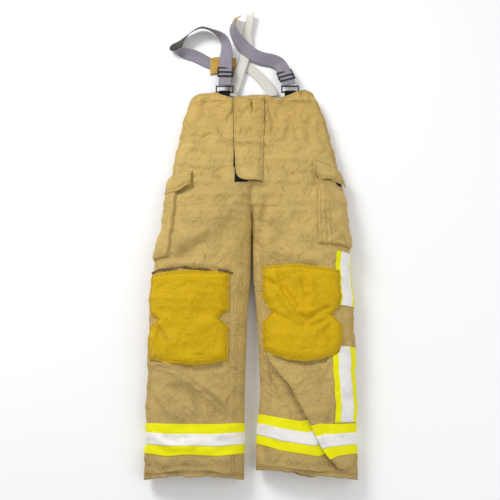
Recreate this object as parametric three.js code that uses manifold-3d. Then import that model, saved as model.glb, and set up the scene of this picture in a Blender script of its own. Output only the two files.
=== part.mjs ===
// Firefighter's bunker pants with suspenders, lying on their back with the legs together.
// +X is the wearer's left, +Y runs from the cuffs to the waist, +Z is up, out of the front.
// Millimetres. The group's origin is the bottom centre of the whole part's box.
import * as THREE from "three";
import { mergeVertices } from "three/addons/utils/BufferGeometryUtils.js";
import Module from "manifold-3d";

const wasm = await Module();
wasm.setup();

// ---- Driving dimensions ----

// Heights along the garment, from the cuff's edge.
const LENGTH = 1045;
const CROTCH = 680;
const KNEE = 388;
const FLY_BOTTOM = 742;
const FLY_TOP = LENGTH - 15;

// Outer edge of each side, as [height, distance from the centre line].
const OUTER_EDGE = {
  right: [
    [0, 250],
    [190, 256],
    [KNEE, 261],
    [490, 262],
    [600, 238],
    [780, 221],
    [918, 204],
    [LENGTH, 176],
  ],
  left: [
    [0, 244],
    [190, 252],
    [KNEE, 259],
    [490, 257],
    [600, 255],
    [780, 241],
    [918, 221],
    [LENGTH, 187],
  ],
};
// Inner edge of each leg, as [height, distance from the centre line].
const SEAM_CLEARANCE = 0.3;
const INNER_EDGE = {
  right: [[0, 19], [190, 18], [KNEE, 12], [490, 3], [CROTCH, SEAM_CLEARANCE]],
  left: [[0, 8], [80, 11], [190, 21], [KNEE, 13], [490, 3], [CROTCH, SEAM_CLEARANCE]],
};
// Height of the front's crest over the floor, and of the side seams.
const CREST = [[0, 58], [190, 66], [KNEE, 70], [560, 80], [CROTCH, 80], [FLY_BOTTOM, 74], [LENGTH, 42]];
const SEAM_HEIGHT = [[0, 20], [KNEE, 24], [CROTCH, 26], [LENGTH, 18]];
const CROTCH_BLEND = 80;
const LEG_ROUNDNESS = 2.2;
const SEAT_ROUNDNESS = 2.6;
const DOME_POWER = 0.42;
// The share of the dome past which the back lies flat on the floor.
const BACK_FLAT = 0.9;

// The inner half of the left cuff lies pulled up along a fold.
const TUCK = { slope: 0.15, foldX: 150, low: 140, top: 270 };

// Cloth layers, as depth below the outside of the shell.
const LAYER_CLEARANCE = 0.4;
const SHELL = 1.8;
const FLY_SHIELD = 1.2;
const BARRIER = 0.8;
const LINER = 4;
const FACING = 1.2;
const LINER_RISE = 14;
const LINER_DROP = 5;
const KNEE_GAP = 0.8;
const FACING_DEPTH = 60;
const FACING_RISE = 5;

// Front closure.
const FLY_WIDTH = 90;
const FLY_SEWN_TOP = 38;
const FLY_SEWN_BOTTOM = 28;
const FLY_THICKNESS = 2.4;
const FLY_CORNER = 34;
const FLY_LIFT = [[-70, 4.2], [-30, 4.2], [-14, 7.8], [13, 7.8], [27, 2.4], [60, 2.4]];
const ZIP = { tape: 14, tapeThickness: 0.8, bead: 3, beadHeight: 2.8, below: 8, above: 26 };
const ZIP_TOP = FLY_TOP - ZIP.below;
const ZIP_BOTTOM = FLY_BOTTOM + ZIP.above;
// The zipper's bead stands on its tape with a side this steep.
const BEAD_SIDE = 0.05;
const SLIDER = { length: 12, halfWidth: 5.4, wall: 1.5, roof: 1.3, clearance: 0.5, below: 14 };
const PULL = { length: 30, width: 9, thickness: 1.2 };
const HOOK = { width: 18, thickness: 1, x: -32, end: 10 };
const FLAP_HOOK = { low: 30, high: 46, start: 4, end: 14 };

// Cargo pockets: how far they reach from the side seam, their mouth and bottom, and the flap's top edge.
const POCKET = {
  right: { reach: 50, bottom: 530, mouth: 755, flapReach: 64, flapTop: 784, flapSlant: 0 },
  left: { reach: 80, bottom: 560, mouth: 772, flapReach: 74, flapTop: 792, flapSlant: 0.24 },
};
const POCKET_DEPTH = 8.6;
const POCKET_WALL = 1.5;
const POCKET_LIFT = 1;
const MOUTH_OVERCUT = 6;
const FLAP_CLEARANCE = 2.2;
const FLAP = {
  inner: 50,
  middle: 64,
  outer: 58,
  thickness: 2.2,
  lift: POCKET_LIFT + POCKET_DEPTH + FLAP_CLEARANCE,
  topLift: 1.2,
  rampLength: 20,
};

// Knee patches with the cushion under them.
const PATCH = {
  right: { inner: 58, outerTop: 252, outerBottom: 244, top: 490, bottom: 262 },
  left: { inner: 38, outerTop: 221, outerBottom: 201, top: 500, bottom: 272 },
};
const PATCH_LIFT = 1.9;
const PATCH_THICKNESS = 1.5;
const CUSHION = 5;
const CUSHION_INSET = 22;
const DART = { depth: 26, height: 24 };

// Reflective trim.
const TRIM = { width: 76, thickness: 1.2, lift: 0.7, sideLift: 1.7, bottom: 52 };
const SIDE_TRIM = { upperLow: 407, upperHigh: 548, lowerLow: 134, lowerHigh: 305 };
// How far the left side trim comes round to the front, as [height, reach].
const SIDE_TRIM_REACH = [[130, 53], [300, 38], [407, 22], [549, 13]];

// Suspenders.
const WEBBING = { width: 38, thickness: 1.6 };
const ELASTIC = { width: 32, thickness: 1.4 };
const TAB_EYE = { y: LENGTH + 11, z: 27, inner: 2.9, wall: 1.7, length: 46 };
const TAB_CLEARANCE = 0.8;
const TAB_NARROWER = 6;
const BUCKLE_PLAY = 10;
const RING = { width: WEBBING.width + BUCKLE_PLAY, reach: 20, bar: 2.2 };
const RING_X = { right: -79, left: 112 };
const ADJUSTER = {
  width: WEBBING.width + BUCKLE_PLAY,
  length: 38,
  bar: 6,
  thickness: 3,
  rail: 3.2,
  clearance: 0.6,
};
const BACK_PATCH = { x: -86, y: LENGTH + 120, z: -1.2, width: 78, height: 60, thickness: 2.4 };

const SIDES = ["right", "left"];
const SIGN = { right: -1, left: 1 };
const FACES = ["front", "back"];
const COLUMNS = [0, 0.035, 0.12, 0.27, 0.5, 0.73, 0.88, 0.965, 1];

const COLOUR = {
  shell: 0xc7aa67,
  barrier: 0xd8d2bd,
  liner: 0xb9a13c,
  patch: 0xccab2b,
  cushion: 0x8d8a80,
  lime: 0xe0db17,
  facing: 0x1c1a1c,
  grey: 0x958f97,
  white: 0xdad7cc,
  black: 0x1a181c,
  brass: 0xb08d3c,
  leather: 0xc19d4c,
};

// ---- Tables and shapes ----

// A piecewise-linear value at a height, carried on past both ends of its table.
function along(table, y) {
  let i = 1;
  while (i < table.length - 1 && y > table[i][0]) i++;
  const [y0, v0] = table[i - 1];
  const [y1, v1] = table[i];
  return v0 + ((v1 - v0) * (y - y0)) / (y1 - y0);
}

const clampTable = (table, y) => along(table, THREE.MathUtils.clamp(y, table[0][0], table.at(-1)[0]));

const EDGES = [OUTER_EDGE.right, OUTER_EDGE.left, INNER_EDGE.right, INNER_EDGE.left, CREST];
const TURNS = EDGES.flat().map((row) => row[0]);
const STATIONS = [...new Set([...TURNS, CROTCH - CROTCH_BLEND, TUCK.low, TUCK.top])].sort((a, b) => a - b);

function bracket(list, value) {
  let i = 1;
  while (i < list.length - 1 && value > list[i]) i++;
  const [low, high] = [list[i - 1], list[i]];
  return { low, high, share: (value - low) / (high - low) };
}

const legDome = (t) => Math.pow(Math.max(0, 1 - Math.pow(Math.abs(2 * t - 1), LEG_ROUNDNESS)), DOME_POWER);
const seatDome = (t) => Math.pow(Math.max(0, 1 - Math.pow(Math.abs(1 - t), SEAT_ROUNDNESS)), DOME_POWER);

// A point of the shell's cross-section: t is 0 at the side seam and 1 at the inseam or centre line.
function sectionPoint(side, face, t, y, depth) {
  const seat = THREE.MathUtils.clamp((y - (CROTCH - CROTCH_BLEND)) / CROTCH_BLEND, 0, 1);
  const outer = clampTable(OUTER_EDGE[side], y) - depth;
  const inner = clampTable(INNER_EDGE[side], y) + depth * (1 - seat);
  const dome = THREE.MathUtils.lerp(legDome(t), seatDome(t), seat);
  const seam = clampTable(SEAM_HEIGHT, y);
  const crest = clampTable(CREST, y);
  const sunk = Math.min(1, dome / BACK_FLAT);
  const rise = face === "front" ? (crest - seam - depth) * dome : -(seam - depth) * sunk;
  const clear = face === "front" ? SEAM_CLEARANCE : -SEAM_CLEARANCE;
  return new THREE.Vector3(SIGN[side] * THREE.MathUtils.lerp(outer, inner, t), y, seam + clear + rise);
}

// The same point on the faceted surface that the stations and columns give, with the left cuff's tuck.
function skin(side, face, t, y, depth) {
  const row = bracket(STATIONS, y);
  const column = bracket(COLUMNS, t);
  const at = (height) =>
    sectionPoint(side, face, column.low, height, depth).lerp(
      sectionPoint(side, face, column.high, height, depth),
      column.share,
    );
  const point = at(row.low).lerp(at(row.high), row.share);
  point.y = y;
  if (side === "left") {
    const fade = THREE.MathUtils.clamp((TUCK.top - y) / (TUCK.top - TUCK.low), 0, 1);
    point.y += TUCK.slope * Math.max(0, TUCK.foldX - point.x) * fade;
  }
  return point;
}

// A point that lies over the front at x, y, lifted off the shell.
function onFront(x, y, lift) {
  const side = x < 0 ? "right" : "left";
  const outer = clampTable(OUTER_EDGE[side], y);
  const inner = clampTable(INNER_EDGE[side], y);
  const t = THREE.MathUtils.clamp((outer - Math.abs(x)) / (outer - inner), 0, 1);
  return skin(side, "front", t, y, -lift);
}

const rowsBetween = (low, high) => [low, ...STATIONS.filter((y) => y > low + 4 && y < high - 4), high];

// ---- Solids ----

function bare(geometry) {
  geometry.deleteAttribute("normal");
  geometry.deleteAttribute("uv");
  return mergeVertices(geometry, 1e-4);
}

// Swaps the diagonal of each pair of triangles, so that nested skins are cut the same way and stay parallel.
function turnDiagonals(index, start, end) {
  for (let i = start; i < end; i += 6) {
    const [a, b, d] = [index.getX(i), index.getX(i + 1), index.getX(i + 2)];
    const c = [3, 4, 5].map((k) => index.getX(i + k)).find((v) => v !== a && v !== b && v !== d);
    [a, b, c, a, c, d].forEach((v, k) => index.setX(i + k, v));
  }
}

// Turns a closed solid's faces outwards when its mapping mirrored it.
function outward(geometry) {
  const p = geometry.getAttribute("position");
  const index = geometry.getIndex().array;
  const [a, b, c] = [new THREE.Vector3(), new THREE.Vector3(), new THREE.Vector3()];
  let volume = 0;
  for (let i = 0; i < index.length; i += 3) {
    a.fromBufferAttribute(p, index[i]);
    b.fromBufferAttribute(p, index[i + 1]);
    c.fromBufferAttribute(p, index[i + 2]);
    volume += a.dot(b.cross(c));
  }
  if (volume < 0) {
    for (let i = 0; i < index.length; i += 3) {
      [index[i + 1], index[i + 2]] = [index[i + 2], index[i + 1]];
    }
  }
  return geometry;
}

// A slab: a box whose columns and rows are placed one by one, with an inside and an outside skin.
function laid(columns, rows, place) {
  const across = columns.length - 1;
  const up = rows.length - 1;
  const block = new THREE.BoxGeometry(1, 1, 1, across, up, 1);
  const inside = block.groups[5];
  turnDiagonals(block.getIndex(), inside.start, inside.start + inside.count);
  const solid = bare(block);
  const p = solid.getAttribute("position");
  for (let n = 0; n < p.count; n++) {
    const column = columns[Math.round((p.getX(n) + 0.5) * across)];
    const row = rows[Math.round((p.getY(n) + 0.5) * up)];
    const spot = place(column, row, p.getZ(n) > 0);
    p.setXYZ(n, spot.x, spot.y, spot.z);
  }
  return outward(solid);
}

// A ring slab round a leg: a lathe whose section's four corners become the layer's inside and outside.
function legTube(side, low, high, depth, thickness) {
  const rows = rowsBetween(low, high);
  const round = 2 * (COLUMNS.length - 1);
  const profile = [
    ...rows.map((y, j) => new THREE.Vector2(2, j)),
    ...rows.map((y, j) => new THREE.Vector2(1, j)).reverse(),
  ];
  profile.push(profile[0].clone());
  const ring = new THREE.LatheGeometry(profile, round);
  const quads = profile.length - 1;
  for (let turn = 0; turn < round; turn++) {
    for (let j = 0; j < quads; j++) {
      const outside = j < rows.length;
      const start = 6 * (turn * quads + j);
      if (outside === turn < round / 2) turnDiagonals(ring.getIndex(), start, start + 6);
    }
  }
  const solid = bare(ring);
  const p = solid.getAttribute("position");
  for (let n = 0; n < p.count; n++) {
    const radius = Math.hypot(p.getX(n), p.getZ(n));
    const turn = (Math.atan2(p.getX(n), p.getZ(n)) / (2 * Math.PI) + 1) % 1;
    const step = Math.round(turn * round) % round;
    const front = step <= round / 2;
    const t = COLUMNS[front ? step : round - step];
    const face = front ? "front" : "back";
    const spot = skin(side, face, t, rows[Math.round(p.getY(n))], radius > 1.5 ? depth : depth + thickness);
    p.setXYZ(n, spot.x, spot.y, spot.z);
  }
  return outward(solid);
}

function solidOf(geometry) {
  const merged = geometry.getIndex() && !geometry.getAttribute("normal") ? geometry : bare(geometry);
  const vertProperties = new Float32Array(merged.getAttribute("position").array);
  const triVerts = new Uint32Array(merged.getIndex().array);
  return new wasm.Manifold(new wasm.Mesh({ numProp: 3, vertProperties, triVerts }));
}

function geometryOf(solid) {
  const { vertProperties, triVerts } = solid.getMesh();
  const geometry = new THREE.BufferGeometry();
  geometry.setAttribute("position", new THREE.BufferAttribute(vertProperties, 3));
  geometry.setIndex(new THREE.BufferAttribute(triVerts, 1));
  return geometry;
}

// The points of a route that is given over the waist.
const overWaist = (route) => route.map(([x, y, z]) => new THREE.Vector3(x, LENGTH + y, z));

// A flat strap along a curve: its width lies level and its thickness stands on it.
function ribbon(route, width, thickness, steps) {
  const curve = new THREE.CatmullRomCurve3(overWaist(route), false, "centripetal");
  const stops = Array.from({ length: steps + 1 }, (_, i) => i / steps);
  return laid([-0.5, 0.5], stops, (across, stop, top) => {
    const tangent = curve.getTangentAt(stop);
    const level = new THREE.Vector3(tangent.y, -tangent.x, 0).normalize();
    const normal = level.clone().cross(tangent).normalize();
    const spot = curve.getPointAt(stop);
    const rise = (top ? 0.5 : -0.5) * thickness;
    return spot.addScaledVector(level, across * width).addScaledVector(normal, rise);
  });
}

// ---- The garment's nodes ----

const pants = new THREE.Group();

function add(name, geometry, colour, roughness = 0.9, metalness = 0) {
  const material = new THREE.MeshStandardMaterial({ color: colour, roughness, metalness });
  const mesh = new THREE.Mesh(geometry, material);
  mesh.name = name;
  pants.add(mesh);
  return mesh;
}

function clothPanel(side, face, low, high, depth, thickness) {
  return laid(COLUMNS, rowsBetween(low, high), (t, y, outside) =>
    skin(side, face, t, y, outside ? depth : depth + thickness),
  );
}

const BARRIER_DEPTH = SHELL + FLY_SHIELD + 2 * LAYER_CLEARANCE;
const LINER_DEPTH = BARRIER_DEPTH + BARRIER + LAYER_CLEARANCE;
const FACING_LAYER = LINER_DEPTH + LINER + 2.5 * LAYER_CLEARANCE;
const SHIN_TOP = KNEE - KNEE_GAP / 2;
const THIGH_BOTTOM = KNEE + KNEE_GAP / 2;

function buildCloth() {
  for (const side of SIDES) {
    for (const face of FACES) {
      const thigh = clothPanel(side, face, THIGH_BOTTOM, LENGTH, 0, SHELL);
      const shin = clothPanel(side, face, 0, SHIN_TOP, 0, SHELL);
      add(`shell_${face}_${side}_thigh`, thigh, COLOUR.shell);
      add(`shell_${face}_${side}_shin`, shin, COLOUR.shell);
      add(
        `moisture_barrier_${face}_${side}_thigh`,
        clothPanel(side, face, THIGH_BOTTOM, LENGTH - LINER_DROP, BARRIER_DEPTH, BARRIER),
        COLOUR.barrier,
      );
      add(
        `thermal_liner_${face}_${side}_thigh`,
        clothPanel(side, face, THIGH_BOTTOM, LENGTH - LINER_DROP, LINER_DEPTH, LINER),
        COLOUR.liner,
      );
    }
    add(
      `moisture_barrier_${side}_shin`,
      legTube(side, LINER_RISE, SHIN_TOP, BARRIER_DEPTH, BARRIER),
      COLOUR.barrier,
    );
    add(`thermal_liner_${side}_shin`, legTube(side, LINER_RISE, SHIN_TOP, LINER_DEPTH, LINER), COLOUR.liner);
  }
}

// The black band inside the waist: one strip from the fly round the back to the fly again.
function buildWaistFacing() {
  const loop = [
    ...COLUMNS.map((t) => ["right", "front", t]).reverse(),
    ...COLUMNS.map((t) => ["right", "back", t]),
    ...COLUMNS.map((t) => ["left", "back", t]).reverse(),
    ...COLUMNS.map((t) => ["left", "front", t]),
  ];
  const rows = [LENGTH - FACING_DEPTH, LENGTH - LINER_DROP, LENGTH + FACING_RISE];
  const band = laid(loop, rows, ([side, face, t], y, outside) =>
    skin(side, face, t, y, outside ? FACING_LAYER : FACING_LAYER + FACING),
  );
  add("waist_facing", band, COLOUR.facing);
}

const sewnEdge = (y) =>
  THREE.MathUtils.mapLinear(y, FLY_BOTTOM, FLY_TOP, FLY_SEWN_BOTTOM, FLY_SEWN_TOP);

function overFront(xs, rows, low, high) {
  return laid(xs, rows, (x, y, outside) => onFront(x, y, outside ? high : low));
}

function buildFly() {
  const across = [0, 0.18, 0.32, 0.5, 0.68, 0.84, 1];
  const cornerRows = [0, 6, 16, FLY_CORNER].map((rise) => FLY_BOTTOM + rise);
  const rows = [...cornerRows, 800, 860, 918, 975, FLY_TOP];
  const flap = laid(across, rows, (share, y, outside) => {
    const below = THREE.MathUtils.clamp((FLY_BOTTOM + FLY_CORNER - y) / FLY_CORNER, 0, 1);
    const width = FLY_WIDTH - FLY_CORNER * (1 - Math.sqrt(1 - below * below));
    const x = sewnEdge(y) - share * width;
    return onFront(x, y, along(FLY_LIFT, x) + (outside ? FLY_THICKNESS : 0));
  });
  add("fly_flap", flap, COLOUR.shell);

  const stripRows = [FLY_BOTTOM + FLY_CORNER + HOOK.end, 860, 918, FLY_TOP - HOOK.end];
  const strip = (x) => [x, x - HOOK.width / 2, x - HOOK.width];
  const loopTop = LAYER_CLEARANCE + HOOK.thickness;
  const hookTop = along(FLY_LIFT, HOOK.x) - LAYER_CLEARANCE;
  add("fly_loop_strip", overFront(strip(HOOK.x), stripRows, LAYER_CLEARANCE, loopTop), COLOUR.black);
  add("fly_hook_strip", overFront(strip(HOOK.x), stripRows, hookTop - HOOK.thickness, hookTop), COLOUR.black);
  add(
    "fly_shield",
    laid([-40, -14, 0, 14, 40], [FLY_BOTTOM, 800, 860, 918, LENGTH - LINER_DROP], (x, y, outside) =>
      onFront(x, y, -SHELL - LAYER_CLEARANCE - (outside ? 0 : FLY_SHIELD)),
    ),
    COLOUR.facing,
  );
}

function buildZipper() {
  const tapeTop = LAYER_CLEARANCE + ZIP.tapeThickness;
  const rows = [ZIP_BOTTOM, 800, 860, 918, ZIP_TOP];
  for (const side of SIDES) {
    const sign = SIGN[side];
    const xs = [SEAM_CLEARANCE, ZIP.bead, ZIP.bead + BEAD_SIDE, ZIP.tape].map((x) => x * sign);
    const half = laid(xs, rows, (x, y, outside) => {
      const onBead = Math.abs(x) <= ZIP.bead;
      return onFront(x, y, outside ? (onBead ? tapeTop + ZIP.beadHeight : tapeTop) : LAYER_CLEARANCE);
    });
    add(`zipper_half_${side}`, half, COLOUR.brass, 0.5, 0.6);
  }

  const flange = tapeTop + SLIDER.clearance;
  const ceiling = tapeTop + ZIP.beadHeight + SLIDER.clearance;
  const inside = SLIDER.halfWidth - SLIDER.wall;
  const channel = new THREE.Shape([
    new THREE.Vector2(-SLIDER.halfWidth, flange),
    new THREE.Vector2(-inside, flange),
    new THREE.Vector2(-inside, ceiling),
    new THREE.Vector2(inside, ceiling),
    new THREE.Vector2(inside, flange),
    new THREE.Vector2(SLIDER.halfWidth, flange),
    new THREE.Vector2(SLIDER.halfWidth, ceiling + SLIDER.roof),
    new THREE.Vector2(-SLIDER.halfWidth, ceiling + SLIDER.roof),
  ]);
  const carriage = new THREE.Group();
  const top = onFront(0, ZIP_TOP - SLIDER.below, 0);
  const lower = onFront(0, ZIP_BOTTOM, 0);
  carriage.position.copy(top);
  carriage.rotation.x = Math.atan2(top.z - lower.z, top.y - lower.y);
  pants.add(carriage);
  const body = new THREE.ExtrudeGeometry(channel, { depth: SLIDER.length, bevelEnabled: false });
  body.rotateX(Math.PI / 2);
  const slider = add("zipper_slider", body, COLOUR.brass, 0.4, 0.8);
  carriage.add(slider);

  const tab = new THREE.Shape();
  const half = PULL.width / 2;
  tab.moveTo(-half, 0);
  tab.lineTo(-half, -PULL.length + half);
  tab.absarc(0, -PULL.length + half, half, Math.PI, 2 * Math.PI, false);
  tab.lineTo(half, 0);
  tab.closePath();
  const sheet = { depth: PULL.thickness, bevelEnabled: false, curveSegments: 6 };
  const leaf = new THREE.ExtrudeGeometry(tab, sheet);
  leaf.translate(0, -SLIDER.length / 2, ceiling + SLIDER.roof + SEAM_CLEARANCE);
  const pull = add("zipper_pull", leaf, COLOUR.brass, 0.4, 0.8);
  carriage.add(pull);
}

// Shares of the way from the side seam that a pocket or flap of this reach covers, and the columns there.
function pocketColumns(side, y, reach, inset) {
  const outer = clampTable(OUTER_EDGE[side], y);
  const inner = clampTable(INNER_EDGE[side], y);
  const last = (reach - inset) / (outer - inner);
  const first = inset / (outer - inner);
  return [first, ...COLUMNS.filter((t) => t > first + 0.01 && t < last - 0.01), last];
}

function buildPockets() {
  for (const side of SIDES) {
    const size = POCKET[side];
    const pouch = (inset, low, high, near, far) =>
      laid(pocketColumns(side, CROTCH, size.reach, inset), rowsBetween(low, high), (t, y, outside) =>
        skin(side, "front", t, y, outside ? -far : -near),
      );
    const near = POCKET_LIFT;
    const far = near + POCKET_DEPTH;
    const body = pouch(0, size.bottom, size.mouth, near, far);
    const hollow = pouch(
      POCKET_WALL * 2,
      size.bottom + POCKET_WALL * 2,
      size.mouth + MOUTH_OVERCUT,
      near + POCKET_WALL,
      far - POCKET_WALL,
    );
    add(`cargo_pocket_${side}`, geometryOf(solidOf(body).subtract(solidOf(hollow))), COLOUR.shell);

    const flapColumns = pocketColumns(side, size.flapTop, size.flapReach, 0);
    const farthest = flapColumns.at(-1);
    const flapPoint = (t, drop, lift) => {
      const top = size.flapTop + (size.flapSlant * size.flapReach * t) / farthest;
      return skin(side, "front", t, top - drop, -lift);
    };
    const fall = (t) => {
      const share = t / farthest;
      return share < 0.5
        ? THREE.MathUtils.lerp(FLAP.outer, FLAP.middle, share * 2)
        : THREE.MathUtils.lerp(FLAP.middle, FLAP.inner, share * 2 - 1);
    };
    const ramp = (drop) =>
      THREE.MathUtils.lerp(FLAP.topLift, FLAP.lift, Math.min(1, drop / FLAP.rampLength));
    const cover = laid(flapColumns, [0, FLAP.rampLength, 40, 1], (t, row, outside) => {
      const drop = row === 1 ? fall(t) : row;
      return flapPoint(t, drop, ramp(drop) + (outside ? FLAP.thickness : 0));
    });
    add(`pocket_flap_${side}`, cover, COLOUR.shell);
    const stripFar = FLAP.lift - SEAM_CLEARANCE;
    const stripColumns = pocketColumns(side, size.flapTop, size.flapReach - FLAP_HOOK.end, FLAP_HOOK.start);
    const strip = laid(stripColumns, [FLAP_HOOK.low, FLAP_HOOK.high], (t, drop, outside) =>
      flapPoint(t, drop, outside ? stripFar : stripFar - HOOK.thickness),
    );
    add(`pocket_hook_strip_${side}`, strip, COLOUR.black);
  }
}

// A patch half, from the knee's dart line to its upper or lower edge, and the cushion under it.
function buildKnees() {
  for (const side of SIDES) {
    const size = PATCH[side];
    const halves = {
      upper: [THIGH_BOTTOM, size.top],
      lower: [SHIN_TOP, size.bottom],
    };
    for (const [half, [start, end]] of Object.entries(halves)) {
      const reach = Math.abs(end - start);
      const steps = [0, DART.height, CUSHION_INSET + DART.height, reach - CUSHION_INSET, reach];
      const heights = steps.map((step) => start + Math.sign(end - start) * step);
      const shares = [0, 0.1, 0.2, 0.3, 0.4, 0.5, 0.6, 0.7, 0.8, 0.9, 1];
      const { bottom, top, outerBottom, outerTop } = size;
      const outerAt = (y) => THREE.MathUtils.mapLinear(y, bottom, top, outerBottom, outerTop);
      const dart = (y) => DART.depth * Math.max(0, 1 - Math.abs(y - start) / DART.height);
      const spread = (share, y, inset) =>
        SIGN[side] * THREE.MathUtils.lerp(size.inner + dart(y) + inset, outerAt(y) - dart(y) - inset, share);
      const raised = (share, y) => {
        const edge = share === 0 || share === 1 || y === end;
        return edge ? 0 : CUSHION + LAYER_CLEARANCE;
      };
      const cover = laid(shares, heights, (share, y, outside) => {
        const lift = PATCH_LIFT + raised(share, y);
        return onFront(spread(share, y, 0), y, lift + (outside ? PATCH_THICKNESS : 0));
      });
      add(`knee_patch_${side}_${half}`, cover, COLOUR.patch, 0.6);
      const foam = laid(shares, heights.slice(0, -1), (share, y, outside) =>
        onFront(spread(share, y, CUSHION_INSET), y, PATCH_LIFT + (outside ? CUSHION - 1 : 0)),
      );
      add(`knee_cushion_${side}_${half}`, foam, COLOUR.cushion);
    }
  }
}

function buildTrim() {
  for (const side of SIDES) {
    for (const face of FACES) {
      const band = laid(COLUMNS, rowsBetween(TRIM.bottom, TRIM.bottom + TRIM.width), (t, y, outside) =>
        skin(side, face, t, y, outside ? -TRIM.lift - TRIM.thickness : -TRIM.lift),
      );
      add(`cuff_trim_${face}_${side}`, band, COLOUR.lime, 0.5);
    }
  }
  const spans = {
    upper: [SIDE_TRIM.upperLow, SIDE_TRIM.upperHigh],
    lower: [SIDE_TRIM.lowerLow, SIDE_TRIM.lowerHigh],
  };
  for (const [name, [low, high]] of Object.entries(spans)) {
    const shares = [0, 0.05, 0.1, 0.18, 0.28, 0.4, 0.55, 0.75, 1];
    const front = shares.map((share) => ["front", share]).reverse();
    const back = shares.map((share) => ["back", share]);
    const band = laid([...front, ...back], rowsBetween(low, high), ([face, share], y, outside) => {
      const reach = along(SIDE_TRIM_REACH, y);
      const width = face === "front" ? reach : TRIM.width - reach;
      const legWidth = clampTable(OUTER_EDGE.left, y) - clampTable(INNER_EDGE.left, y);
      const lift = TRIM.sideLift + (outside ? TRIM.thickness : 0);
      return skin("left", face, (share * width) / legWidth, y, -lift);
    });
    add(`side_trim_left_${name}`, band, COLOUR.lime, 0.5);
  }
}

// ---- The suspenders ----

// Each point is x, height over the waist, and height over the seams' base.
const STRAP_ROUTE = {
  right: [
    [-79, 38, 25.5],
    [-78, 84.6, 18.5],
    [-77, 131.2, 11.5],
    [-76, 167.9, 6],
    [-84, 207.8, 3.5],
    [-113, 238.9, 3],
    [-154, 256.7, 3],
    [-196, 243.3, 2],
    [-224, 212.3, 1],
    [-222, 176.8, 0],
    [-192, 159, 0],
    [-158, 147.9, 0],
    [-136, 136.8, 0],
  ],
  left: [
    [110.6, 40.2, 25],
    [101.2, 70.2, 20.2],
    [91.7, 100.2, 15.4],
    [84, 121.2, 12],
    [66, 139, 10],
    [38, 145.7, 9.5],
    [8, 156.8, 9],
    [-18, 175.6, 8.5],
    [-42, 200.1, 8.5],
    [-58, 227.8, 8.5],
    [-62, 261.1, 7],
    [-56, 281.1, 6],
  ],
};

const ELASTIC_ROUTE = {
  right: [
    [-58, 9, 9],
    [-49, 45.8, 5],
    [-34, 101.3, 4],
    [-20, 152.3, 4],
    [-13, 192.3, 3],
    [-14, 236.7, 1],
    [-8, 278.9, 0],
    [-3, 316.6, 0],
  ],
  left: [
    [62, 9, 9],
    [56, 33, 4],
    [36, 65.8, 1],
    [8, 99, 0],
    [-14, 119, 0],
    [-28, 125.7, 0],
  ],
};

function buildWaistTabs() {
  for (const side of SIDES) {
    const outerRadius = TAB_EYE.inner + TAB_EYE.wall;
    const width = WEBBING.width - TAB_NARROWER;
    const depth = FACING_LAYER + FACING;
    const corner = RING_X[side] + SIGN[side] * (width / 2 + depth);
    const sewn = onFront(corner, LENGTH - FACING_DEPTH, -depth - TAB_CLEARANCE);
    const edge = onFront(corner, LENGTH, -depth - TAB_CLEARANCE);
    const bend = LENGTH + FACING_RISE + LAYER_CLEARANCE;
    const thick = 2 * TAB_EYE.wall;
    const root = TAB_EYE.y - TAB_EYE.inner - 0.3 * TAB_EYE.wall;
    const tail = new THREE.Shape([
      new THREE.Vector2(sewn.y, sewn.z - thick),
      new THREE.Vector2(bend, edge.z - thick),
      new THREE.Vector2(root, TAB_EYE.z - TAB_EYE.wall),
      new THREE.Vector2(root, TAB_EYE.z + TAB_EYE.wall),
      new THREE.Vector2(bend, edge.z),
      new THREE.Vector2(sewn.y, sewn.z),
    ]);
    const ring = new THREE.Shape();
    ring.absarc(TAB_EYE.y, TAB_EYE.z, outerRadius, 0, 2 * Math.PI, false);
    const eye = new THREE.Path();
    eye.absarc(TAB_EYE.y, TAB_EYE.z, TAB_EYE.inner, 0, 2 * Math.PI, true);
    ring.holes.push(eye);
    const options = { depth: width, bevelEnabled: false, curveSegments: 10 };
    const [flat, round] = [tail, ring].map((shape) => solidOf(new THREE.ExtrudeGeometry(shape, options)));
    const strap = geometryOf(flat.add(round));
    const turn = new THREE.Matrix4().set(0, 0, 1, 0, 1, 0, 0, 0, 0, 1, 0, 0, 0, 0, 0, 1);
    strap.applyMatrix4(turn);
    strap.translate(RING_X[side] - width / 2, 0, 0);
    add(`waist_tab_${side}`, strap, COLOUR.black);
  }
}

function buildRings() {
  for (const side of SIDES) {
    const half = RING.width / 2;
    const far = TAB_EYE.y + RING.reach;
    const corners = [
      [-half, TAB_EYE.y],
      [half, TAB_EYE.y],
      [half, far],
      [-half, far],
    ];
    const bars = corners.map(([x, y], i) => {
      const [nextX, nextY] = corners[(i + 1) % 4];
      const length = Math.hypot(nextX - x, nextY - y) + 2 * RING.bar;
      const bar = new THREE.CylinderGeometry(RING.bar, RING.bar, length, 10);
      if (i % 2 === 0) bar.rotateZ(Math.PI / 2);
      bar.translate(RING_X[side] + (x + nextX) / 2, (y + nextY) / 2, TAB_EYE.z);
      return solidOf(bar);
    });
    const ring = bars.reduce((whole, bar) => whole.add(bar));
    add(`waist_ring_${side}`, geometryOf(ring), COLOUR.black, 0.4);
  }
}

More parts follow.
